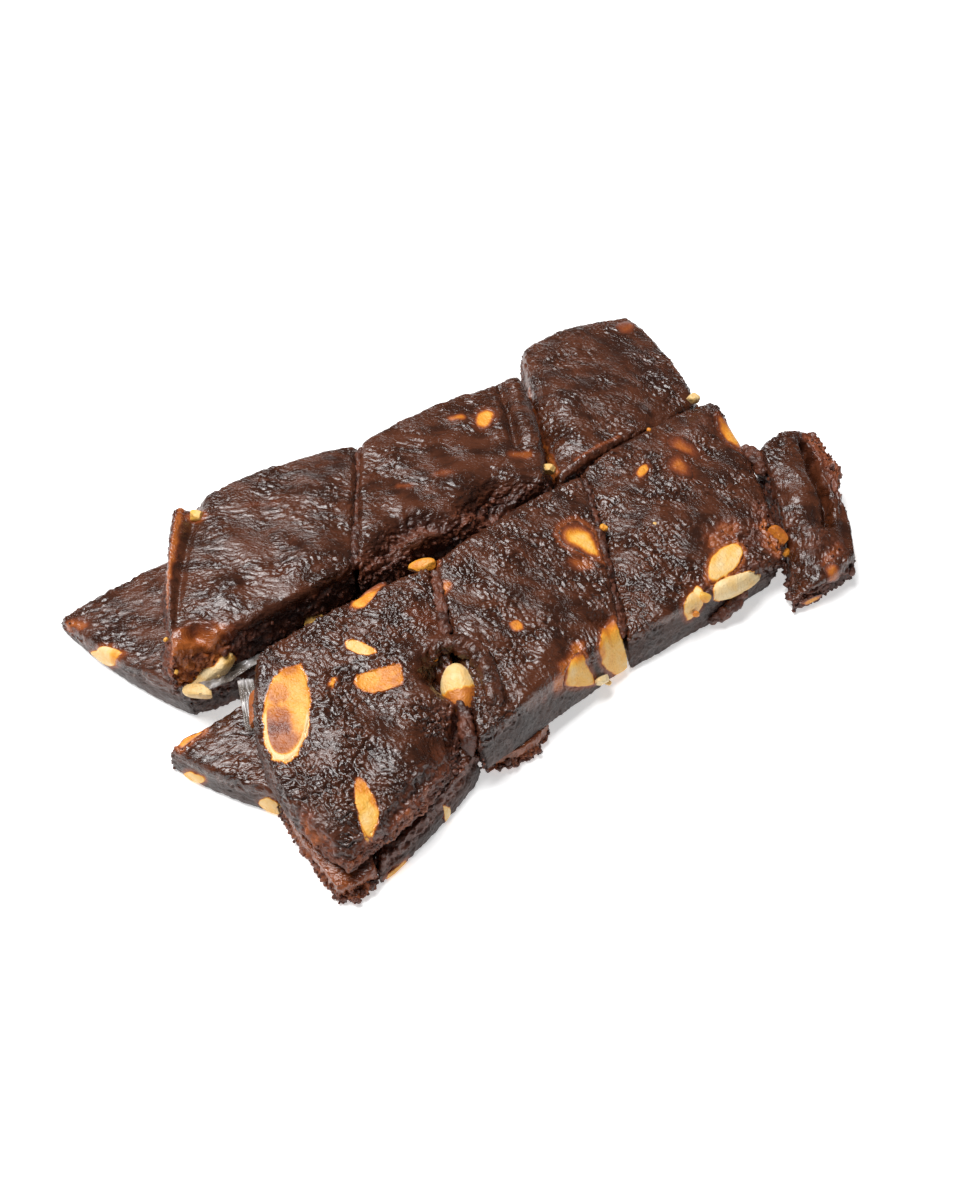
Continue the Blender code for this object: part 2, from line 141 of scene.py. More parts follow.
@dataclass
class Diamond:
    """One cut piece. Corners go back left, back right, front right, front left."""

    name: str
    corners: tuple          # four (x, y)
    top: tuple              # height of the top surface at each corner
    floor: tuple = (0.0, 0.0, 0.0, 0.0)     # height of the underside at each corner
    bow: tuple = (0.0, 0.0, 0.0, 0.0)   # swell of the back, right, front and left side
    foot: tuple = ((0.0, 0.0),) * 4     # how far the underside's corners are shifted
    lip: float = 0.0                    # height of the ridge along the left edge
    relief: float = 1.0
    steps: tuple = UPPER_STEPS
    slot: str = "date_paste"
    flow: tuple = (-35.0, 2.4)          # which way the wrinkles run, and how much longer
    wrinkles: float = 1.0
    torn: tuple = (0.5, 0.5, 0.5, 0.5)  # how torn, not cut, each side is
    sag: tuple = (0.4, 0.3, 0.4, 0.6)   # how far the top sags at each side
    rough: float = 0.45                 # how far lumps may stand out


@dataclass
class Window:
    """A nut that shows flush in the skin of a diamond, as a convex outline round its middle.

    Its places are unfolded: (x, y) on top, or the way along a side and over its edge, which is
    below 0 on top and above 0 down the side."""

    name: str
    host: str
    at: tuple
    outline: tuple
    side: int = TOP
    ripe: float = 0.7       # 0 under dark paste, 0.5 orange, 1 cream
    film: float = 0.3       # share of its reach over which the paste thins out
    rise: float = 0.1       # how far its middle stands out
    level: float = 2.0      # 2 is a round dome, 8 is flat with a steep border
    spots: tuple = ()       # (x, y, reach, change) of other colour on it
    rim: tuple = (0.0, 0.0)     # direction in degrees and strength of a pale border
    halo: float = 0.12      # glow that it gives the paste round it
    slot: str = "nut_under_paste"
    solid: bool = True      # False where the solids leave it out


@dataclass
class Chunk:
    """A nut that stands out: its middle, full size, and turn, pitch and roll in degrees."""

    name: str
    host: str
    at: tuple
    size: tuple
    turn: tuple
    boxy: float = 0.8       # 1 is an ellipsoid, smaller is squarer
    ripe: float = 0.7
    skin: tuple = (0.0, 0.0, 1.0, 9.0, 0.0)     # a direction, how far out film starts, its change
    halo: float = 0.2
    slot: str = "nut_under_paste"
    solid: bool = True
    cuts: int = 6           # flat faces broken off it


@dataclass
class Strand:
    """A lumpy roll of paste along a path of (x, y, z, radius)."""

    name: str
    path: tuple
    torn: float = 0.9
    glow: float = 0.0


@dataclass
class Mark:
    """What a path on the top surface does to the paste within its width."""

    path: tuple
    width: float
    depth: float = 0.0      # above 0 is a crease, below 0 a ridge
    glow: float = 0.0       # amber light from below
    torn: float = 0.0
    calm: float = 0.0       # smooths the wrinkles away
    deep: float = 3.0       # how far it reaches down the sides


@dataclass
class Pull:
    """A spot of the surface that is moved: its middle, its reach and the move."""

    at: tuple
    reach: float
    move: tuple


DIAMONDS = (
    # The slab on top, back row
    Diamond("top_back_left", ((-61.2, 43.0), (-14.2, 41.4), (-35.6, 6.4), (-79.0, 4.0)),
            (21.0, 20.5, 20.5, 21.0), (SEAT, SEAT, SEAT, SEAT), bow=(2.2, 0.0, 0.8, 0.6),
            foot=((-0.8, 0.0), (0.0, 0.0), (0.0, -0.8), (-0.8, -1.8)), lip=1.4,
            flow=(-33.0, 2.4), wrinkles=0.58, torn=(0.6, 0.4, 0.8, 0.9), sag=(0.8, 0.4, 0.9, 0.0)),
    Diamond("top_back_middle", ((-13.3, 41.4), (34.2, 44.2), (17.8, 8.6), (-34.7, 5.4)),
            (20.5, 17.0, 17.0, 20.5), (SEAT, 6.6, 6.6, SEAT), bow=(1.8, 1.2, 0.0, 0.0),
            foot=((0.0, 0.0), (0.0, 0.0), (0.0, -0.8), (0.0, -0.8)),
            flow=(-26.0, 2.6), wrinkles=0.6, torn=(0.6, 0.7, 1.0, 0.4), sag=(0.8, 0.4, 0.6, 0.6)),
    Diamond("top_back_right", ((43.8, 57.4), (77.4, 55.8), (70.8, 16.6), (22.8, 10.9)),
            (14.5, 11.2, 11.2, 15.0), (3.6, 0.0, 0.0, 4.0), bow=(1.0, 1.6, 0.0, 0.6),
            flow=(-70.0, 2.2), wrinkles=0.85, torn=(0.6, 0.8, 0.6, 0.6), sag=(0.5, 0.8, 0.5, 2.9)),
    # The slab on top, front row
    Diamond("top_front_left", ((-63.6, -4.2), (-20.4, -1.8), (-38.0, -45.6), (-70.8, -54.2)),
            (21.0, 20.5, 17.2, 15.0), (10.7, 10.7, 9.8, 7.6), bow=(0.4, 0.0, 0.5, 7.0),
            flow=(-50.0, 1.5), wrinkles=1.5, torn=(0.5, 0.8, 0.5, 0.4),
            sag=(0.6, 0.8, 0.9, 0.9)),
    Diamond("top_front_middle", ((-19.4, -1.4), (27.4, 7.0), (7.2, -36.4), (-36.0, -45.8)),
            (20.5, 16.7, 13.2, 17.0), (10.4, 6.4, 2.2, 6.4),
            bow=(0.6, 0.0, -0.6, -0.4), foot=((0.0, 0.0), (0.0, 0.0), (0.4, -2.4), (0.4, -1.8)),
            flow=(-66.0, 1.9), wrinkles=1.2, torn=(0.4, 0.4, 0.15, 0.7),
            sag=(0.7, 0.5, 0.8, 1.0)),
    Diamond("top_front_right", ((28.6, 9.4), (74.2, 15.4), (53.8, -36.8), (8.4, -36.8)),
            (15.7, 11.4, 11.0, 12.8), (4.6, 0.6, 0.0, 1.2), bow=(0.4, 1.8, -0.3, 0.0),
            foot=((0.0, 0.0), (0.0, 0.0), (-3.4, 0.8), (0.0, -2.0)),
            flow=(-66.0, 1.8), wrinkles=1.2, torn=(0.4, 0.9, 0.2, 0.4),
            sag=(0.2, 0.8, 0.5, 1.6)),
    # The layer below
    Diamond("low_left", ((-92.6, 42.2), (-39.6, 40.4), (-37.0, -2.6), (-78.0, 2.4)),
            (5.0, LOWER_TOP, LOWER_TOP, LOWER_TOP), bow=(1.0, 0.0, 0.0, 1.4), relief=0.5,
            steps=LOWER_STEPS, torn=(0.7, 0.5, 0.6, 0.15)),
    Diamond("low_middle", ((-38.2, 40.4), (10.0, 40.0), (29.0, 3.0), (-35.6, -2.4)),
            (LOWER_TOP, 6.8, 3.2, LOWER_TOP), relief=0.4, steps=LOWER_STEPS),
    Diamond("low_front_left", ((-87.8, -7.4), (-30.0, -4.4), (-34.0, -24.6), (-74.2, -30.0)),
            (8.4, LOWER_TOP, 8.8, 8.6), bow=(0.4, 0.0, 0.0, 0.6), relief=0.5,
            steps=LOWER_STEPS, torn=(0.6, 0.5, 0.5, 0.15)),
    Diamond("low_front_middle", ((-28.6, -3.8), (16.0, 0.4), (4.0, -24.0), (-32.4, -25.0)),
            (9.6, 5.6, 2.6, 6.4), relief=0.4, steps=LOWER_STEPS),
    Diamond("low_front_tip", ((-74.6, -31.4), (-55.6, -28.0), (-66.0, -55.2), (-74.2, -54.6)),
            (8.6, 9.0, 6.6, 6.4), bow=(0.0, 0.0, 1.4, 0.4),
            relief=0.8, steps=LOWER_STEPS, slot="torn_date_paste", torn=(1.0, 1.0, 1.0, 1.0),
            rough=1.1),
    Diamond("low_front_right", ((-54.2, -27.6), (-34.0, -26.2), (-34.8, -43.6), (-65.3, -54.8)),
            (9.2, 9.2, 9.0, 6.2), bow=(0.0, 0.0, 0.8, 0.0),
            foot=((0.0, 0.0), (0.0, 0.0), (0.0, -1.2), (0.0, -0.6)),
            relief=0.5, steps=LOWER_STEPS, torn=(0.5, 0.8, 0.25, 0.7)),
    Diamond("low_crumb_lump", ((-32.4, -27.0), (-14.6, -28.4), (-16.4, -43.0), (-33.4, -44.2)),
            (5.4, 4.2, 4.6, 5.6), bow=(0.0, 0.0, 2.2, 0.0),
            relief=0.6, steps=LOWER_STEPS, slot="torn_date_paste", torn=(1.0, 1.0, 1.0, 1.0),
            rough=0.9),
    Diamond("low_right", ((71.6, -5.8), (88.4, -7.6), (68.6, -44.6), (49.8, -45.4)),
            (12.6, 12.0, 9.0, 9.4), bow=(1.6, 1.2, 0.6, -1.2),
            foot=((0.6, 0.0), (0.8, 0.0), (0.8, 0.4), (0.4, 0.4)),
            relief=2.0, steps=LOWER_STEPS, slot="torn_date_paste", torn=(1.0, 0.6, 0.9, 0.9),
            wrinkles=1.1, rough=1.8),
)

WINDOWS = (
    Window("nut_split_almond", "top_front_left", (-65.5, -20.8),
           ((-9.0, -7.5), (-7.5, -10.8), (-4.0, -11.0), (0.5, -7.5), (5.0, -1.5), (7.8, 5.0),
            (8.4, 9.5), (5.5, 11.0), (1.0, 9.5), (-3.0, 6.0), (-7.0, -1.0)),
           ripe=0.70, film=0.10, rise=0.45, level=7.0, rim=(-125.0, 0.25),
           spots=((-5.2, -4.8, 4.3, -0.33), (-2.8, -0.2, 3.4, -0.27), (0.2, 5.0, 2.4, -0.18),
                  (4.8, 10.0, 3.0, -0.22))),
    Window("nut_oval", "top_front_left", (-45.5, -15.0),
           ((-2.8, 1.5), (-1.0, -1.6), (1.4, -3.3), (2.9, -3.0), (2.0, 0.0), (0.0, 3.0),
            (-2.4, 3.3)), ripe=0.90, film=0.22, rise=0.2, spots=((2.2, -2.4, 1.4, -0.2),)),
    Window("nut_block", "top_front_left", (-45.7, -23.7),
           ((-6.2, 1.5), (-4.5, -1.8), (3.0, -4.2), (5.4, -1.2), (6.0, 1.2), (-4.0, 4.0)),
           ripe=0.60, film=0.2, spots=((-2.0, 1.0, 2.0, 0.06), (3.0, -2.6, 2.0, -0.08))),
    Window("nut_sliver", "top_front_left", (-63.2, -47.2),
           ((-3.2, -6.8), (1.0, -4.2), (2.8, -1.5), (3.4, 4.0), (3.2, 6.8), (1.2, 6.4),
            (-0.8, 3.0), (-3.2, -4.0)),
           ripe=0.78, film=0.22, spots=((2.4, 5.0, 2.6, -0.22), (3.0, 0.0, 1.6, -0.24))),
    Window("nut_back_edge", "top_front_left", (-36.7, -3.0),
           ((-6.2, -1.0), (-5.5, -3.2), (-3.0, -3.6), (6.0, 1.5), (6.4, 3.5), (1.0, 3.0),
            (-3.0, 1.4)), ripe=0.64, film=0.45, spots=((-4.2, -2.0, 2.2, 0.14), (4.0, 2.0, 3.0, -0.2))),
    Window("nut_bright", "top_front_middle", (13.7, -12.2),
           ((-5.4, 2.2), (-3.4, -2.0), (-1.0, -5.4), (1.8, -7.2), (3.8, -2.4), (5.2, 3.0),
            (3.0, 7.2), (-3.4, 6.4)), ripe=0.80, film=0.7, halo=0.3,
           spots=((-3.6, -1.0, 2.6, -0.22), (2.6, 6.6, 2.4, -0.2))),
    Window("nut_small_gold", "top_front_middle", (-13.5, -25.7),
           ((-1.9, -0.6), (-1.2, -1.9), (1.2, -1.9), (1.9, 0.2), (1.2, 1.9), (-1.3, 1.7)),
           ripe=0.56, film=0.5),
    Window("nut_front_gold", "top_front_middle", (30.3, 1.9),
           ((-5.2, -0.6), (-3.5, -3.0), (0.0, -5.2), (2.7, -4.2), (4.8, 1.0), (5.2, 5.2),
            (0.0, 2.6)), side=FRONT, ripe=0.80, film=0.28, rise=0.25, level=5.0,
           spots=((1.2, -5.0, 2.6, -0.26), (-4.6, 0.5, 2.0, -0.16)), halo=0.3),
    Window("nut_front_tall", "top_front_middle", (42.0, 2.6),
           ((-5.0, -3.5), (0.5, -7.5), (2.5, -7.5), (4.2, -1.5), (5.0, 5.0), (3.5, 7.5),
            (-0.8, 6.2), (-4.8, 0.8)), side=FRONT, ripe=0.80, film=0.2, rise=0.3, level=5.0,
           spots=((0.6, -6.6, 3.8, -0.30), (2.0, 7.6, 2.0, -0.14), (-4.4, -2.4, 2.0, -0.2)),
           halo=0.3),
    Window("nut_yellow", "top_front_right", (40.6, 0.7),
           ((-3.2, -2.2), (-1.0, -2.2), (2.2, -0.2), (3.2, 2.2), (0.5, 2.2), (-2.7, 0.2)),
           ripe=0.70, film=0.5, halo=0.2),
    Window("nut_orange_one", "top_front_right", (49.3, -2.6),
           ((-3.8, 1.2), (-3.2, -2.6), (0.6, -5.0), (3.2, -1.4), (3.8, 5.0), (-1.8, 5.0)),
           ripe=0.46, film=0.9, halo=0.2),
    Window("nut_orange_two", "top_front_right", (54.5, 3.0),
           ((-3.8, 1.8), (1.2, -5.6), (3.8, -4.4), (3.8, 1.4), (1.2, 5.6), (-2.6, 5.0)),
           ripe=0.43, film=0.9, halo=0.2),
    Window("nut_right_edge", "top_front_right", (14.0, -1.8),
           ((-8.0, -1.0), (-4.0, -2.6), (3.0, -2.4), (8.0, 0.6), (5.0, 2.8), (-4.0, 2.4)),
           side=RIGHT, ripe=0.56, film=0.5, halo=0.25, spots=((2.0, -0.4, 2.8, 0.12),)),
    Window("nut_front_tan", "top_front_right", (29.2, -4.8),
           ((-6.6, 2.4), (-4.0, -1.9), (0.5, -3.6), (5.4, -2.8), (6.8, -0.4), (4.5, 2.5),
            (-0.5, 3.6), (-5.0, 3.4)), side=FRONT, ripe=0.90, film=0.25, rise=0.3, level=4.0,
           spots=((-3.0, -3.0, 2.8, -0.12),), halo=0.35, slot="bare_nut"),
    Window("nut_front_cream", "top_front_right", (31.8, 1.0),
           ((-7.6, -1.8), (-5.4, -2.9), (0.0, -2.4), (5.0, -1.4), (8.6, 0.4), (5.2, 2.0),
            (-0.8, 2.4), (-6.2, 1.2)), side=FRONT, ripe=0.96, film=0.08, rise=1.5,
           level=3.0, halo=0.1, slot="bare_nut", spots=((3.0, 2.6, 2.6, -0.12),)),
    Window("nut_front_wedge", "top_front_right", (18.6, 0.4),
           ((-3.6, -1.0), (2.0, -3.7), (3.6, -2.2), (3.6, 1.5), (1.5, 3.2), (-1.2, 3.6)),
           side=FRONT, ripe=0.90, film=0.25, rise=0.3, level=4.0, halo=0.25,
           spots=((-2.6, 2.2, 1.6, -0.16),)),
    Window("nut_corner_rim", "top_back_left", (7.6, 7.4),
           ((-6.4, 1.9), (-0.8, -2.1), (5.5, -4.1), (6.6, -1.6), (2.2, 2.1), (-3.9, 3.8)),
           side=FRONT, ripe=0.97, film=0.1, rise=1.5, level=4.0, halo=0.3, slot="bare_nut",
           spots=((5.0, -3.0, 2.0, -0.14), (-5.0, 1.4, 1.6, -0.1))),
    Window("nut_back_gold", "top_back_middle", (16.6, 33.1),
           ((-4.0, -2.5), (-2.0, -3.7), (1.5, -2.7), (4.0, 0.5), (3.2, 3.7), (0.0, 3.7),
            (-3.5, 0.5)), ripe=0.68, film=0.55, halo=0.2),
    Window("nut_back_red", "top_back_right", (73.1, 50.5),
           ((-4.0, -3.5), (0.0, -3.7), (4.0, 0.0), (3.5, 3.2), (0.0, 4.2), (-4.0, 1.5)),
           ripe=0.28, film=0.7),
    Window("nut_back_edge_orange", "top_back_right", (25.4, 1.6),
           ((-7.0, 1.0), (-2.5, -2.4), (4.0, -2.8), (7.0, -0.6), (3.0, 2.4), (-4.0, 2.6)),
           side=RIGHT, ripe=0.36, film=0.5, halo=0.2),
    Window("nut_low_left", "low_left", (17.6, 0.2),
           ((-5.5, 2.0), (-1.0, -1.4), (4.5, -2.6), (5.0, -0.6), (3.0, 2.2), (-0.5, 3.6),
            (-3.5, 3.2)), side=LEFT, ripe=0.92, film=0.2, rise=0.3, level=4.0, halo=0.3,
           slot="bare_nut", spots=((4.0, -1.6, 2.2, -0.22),)),
    Window("nut_low_amber", "low_front_left", (-82.9, -7.4),
           ((-3.2, -2.2), (3.7, -0.6), (2.6, 1.6), (-1.0, 1.9), (-3.4, 0.2)),
           ripe=0.66, film=0.4, halo=0.3, rise=0.2),
    Window("nut_low_tan", "low_front_left", (6.2, 4.4),
           ((-3.7, 1.0), (0.0, -2.5), (3.7, -3.0), (3.9, -1.0), (0.0, 2.2), (-2.7, 3.0)),
           side=LEFT, ripe=0.82, film=0.2, rise=0.3, level=4.0, halo=0.3, slot="bare_nut"),
    Window("nut_low_pale", "low_front_left", (25.0, 3.4),
           ((-2.7, -0.5), (-0.4, -3.2), (2.2, -2.7), (2.7, 2.7), (-0.5, 3.4), (-2.2, 1.7)),
           side=LEFT, ripe=0.88, film=0.15, rise=0.3, level=4.0, halo=0.2, slot="bare_nut"),
    Window("nut_low_front", "low_front_right", (4.6, 3.8),
           ((-3.5, 0.7), (-3.0, -1.7), (3.0, -0.9), (3.5, 1.3), (-2.0, 1.6)),
           side=FRONT, ripe=0.76, film=0.3, rise=0.2, halo=0.3, slot="bare_nut"),
    Window("nut_low_front_pale", "low_front_right", (20.5, 3.0),
           ((-1.2, 0.5), (-0.7, -3.2), (1.2, -0.7), (1.2, 1.8), (-0.7, 3.2)),
           side=FRONT, ripe=0.9, film=0.3, slot="bare_nut", solid=False),
    Window("nut_low_right_pale", "low_right", (34.6, 4.6),
           ((-2.2, 0.6), (-1.4, -2.4), (1.4, -2.2), (2.2, 0.8), (0.6, 2.6)),
           side=RIGHT, ripe=0.9, film=0.3, slot="bare_nut", solid=False),
    Window("nut_low_right_red", "low_right", (11.0, -0.2),
           ((-3.4, -3.0), (-0.5, -3.6), (3.5, 0.6), (2.6, 3.0), (-1.4, 1.4)),
           side=FRONT, ripe=0.42, film=0.7, solid=False),
    Window("nut_low_right_tan", "low_right", (5.4, 4.6),
           ((-4.0, -1.2), (-0.5, -1.9), (4.0, -0.6), (3.2, 1.0), (-1.4, 1.2)),
           side=FRONT, ripe=0.66, film=0.6, solid=False),
)

CHUNKS = (
    Chunk("nut_in_hollow", "top_front_left", (-31.9, -31.9, 13.6), (13.4, 7.6, 7.8),
          (-112.0, 10.0, 0.0), 1.0, ripe=0.90, skin=(-0.25, -0.85, -0.45, -0.4, -0.37), halo=0.25,
          cuts=0),
    Chunk("nut_at_cut", "top_front_middle", (-21.8, -0.8, 18.2), (6.4, 3.2, 2.8),
          (-26.0, -14.0, 24.0), 0.8, ripe=0.66, halo=0.35),
    Chunk("nut_drip", "top_front_left", (-72.2, -30.2, 12.6), (5.4, 2.0, 2.2),
          (-120.0, 40.0, 0.0), 0.9, ripe=0.82, halo=0.3, slot="bare_nut", solid=False),
    Chunk("nut_amber_sliver", "top_front_left", (-70.0, -13.4, 14.2), (9.0, 2.4, 3.0),
          (-118.0, 18.0, 0.0), 0.8, ripe=0.40, halo=0.2, solid=False),
    Chunk("nut_below_corner", "low_left", (-76.6, 0.4, 10.4), (6.6, 3.2, 2.6),
          (-40.0, 6.0, 20.0), 0.7, ripe=0.93, halo=0.1, slot="bare_nut", solid=False),
    Chunk("nut_in_row_gap", "top_back_left", (-46.6, 4.4, 11.6), (6.0, 2.4, 2.0),
          (10.0, 0.0, 30.0), 0.7, ripe=0.80, halo=0.1, slot="bare_nut", solid=False),
    Chunk("nut_in_back_gap", "top_back_right", (22.0, 14.0, 13.6), (4.4, 2.4, 2.8),
          (-30.0, 0.0, 20.0), 0.7, ripe=0.84, halo=0.1, slot="bare_nut", solid=False),
    Chunk("nut_notch_bit", "top_back_left", (-57.4, 38.2, 20.6), (3.6, 2.6, 2.2),
          (-50.0, 0.0, 10.0), 0.7, ripe=0.82, halo=0.3, slot="bare_nut", solid=False),
    Chunk("nut_amber_lump", "low_right", (56.8, -30.4, 9.4), (5.6, 3.6, 4.2),
          (-80.0, 20.0, 0.0), 0.85, ripe=0.46, halo=0.2, solid=False),
    Chunk("nut_under_tall", "top_front_middle", (-0.8, -40.6, 5.6), (4.2, 1.8, 2.0),
          (10.0, 20.0, 30.0), 0.6, ripe=1.0, halo=0.1, slot="bare_nut", solid=False),
)

# Pale crumbs on top and round the foot: place, size, ripeness
BITS = (
    ((68.6, 16.4, 12.6), 3.0, 0.86), ((51.4, 12.4, 13.2), 1.1, 0.66),
    ((21.1, -9.9, 14.4), 2.0, 0.62), ((32.4, -14.8, 13.6), 1.1, 0.9),
    ((-33.2, -24.6, 17.6), 1.0, 0.6), ((15.2, -36.9, 0.9), 1.5, 0.8), ((21.8, -36.9, 2.8), 1.8, 0.6),
    ((0.9, -40.2, 3.4), 1.6, 0.84), ((29.6, -36.8, 10.6), 2.4, 0.72), ((26.6, -38.2, 8.0), 1.5, 0.6),
    ((57.4, -33.6, 6.4), 2.0, 0.66), ((-71.4, 1.4, 11.6), 1.4, 0.92), ((-69.2, 2.0, 12.6), 1.2, 0.9),
    ((-67.6, 2.6, 14.2), 1.0, 0.88), ((-78.4, 9.2, 19.6), 0.9, 0.76), ((-79.4, 3.4, 15.8), 0.9, 0.8),
)

STRANDS = (
    Strand("fold_by_hollow", ((-34.2, -24.6, 18.2, 0.8), (-31.4, -22.8, 18.6, 1.5),
                              (-27.8, -23.8, 18.6, 2.2), (-25.4, -27.2, 18.0, 2.5),
                              (-25.2, -31.6, 17.2, 2.5), (-27.0, -36.6, 16.2, 2.3),
                              (-29.2, -41.4, 14.8, 1.8)), torn=0.12),
    Strand("flap_below_wedge", ((30.6, -37.4, 2.4, 1.0), (34.4, -38.2, 3.0, 1.9),
                                (38.4, -38.0, 5.0, 1.8), (42.6, -37.2, 7.6, 1.2)), glow=0.1),
    Strand("lump_by_right", ((69.6, -0.8, 8.2, 1.3), (70.2, -4.4, 9.0, 2.0),
                             (69.6, -8.4, 9.2, 2.2), (68.2, -12.6, 8.6, 1.8)), torn=0.7),
    Strand("paste_in_left_cut", ((-13.9, 40.6, 17.6, 1.5), (-22.0, 28.0, 17.8, 1.3),
                                 (-30.0, 14.0, 17.9, 1.5), (-35.0, 7.2, 17.4, 1.5)), torn=0.7),
    Strand("paste_in_front_cut", ((-20.2, -3.4, 18.0, 1.2), (-24.6, -13.0, 18.0, 1.6),
                                  (-28.4, -21.0, 17.4, 1.4)), torn=0.8),
    Strand("paste_below_front_cut", ((-33.2, -34.2, 14.6, 1.6), (-36.8, -43.4, 13.4, 1.9),
                                     (-37.4, -45.0, 10.4, 1.8)), torn=0.8),
    Strand("paste_behind_middle", ((36.4, 44.0, 7.6, 2.4), (27.0, 26.0, 8.2, 2.4),
                                   (19.2, 10.0, 8.4, 2.2)), torn=0.8),
    Strand("paste_in_right_cut", ((27.2, 6.6, 13.6, 1.5), (19.6, -10.0, 13.2, 1.5),
                                  (12.0, -26.0, 11.2, 1.6), (8.0, -35.6, 9.2, 1.6)), torn=0.7),
)

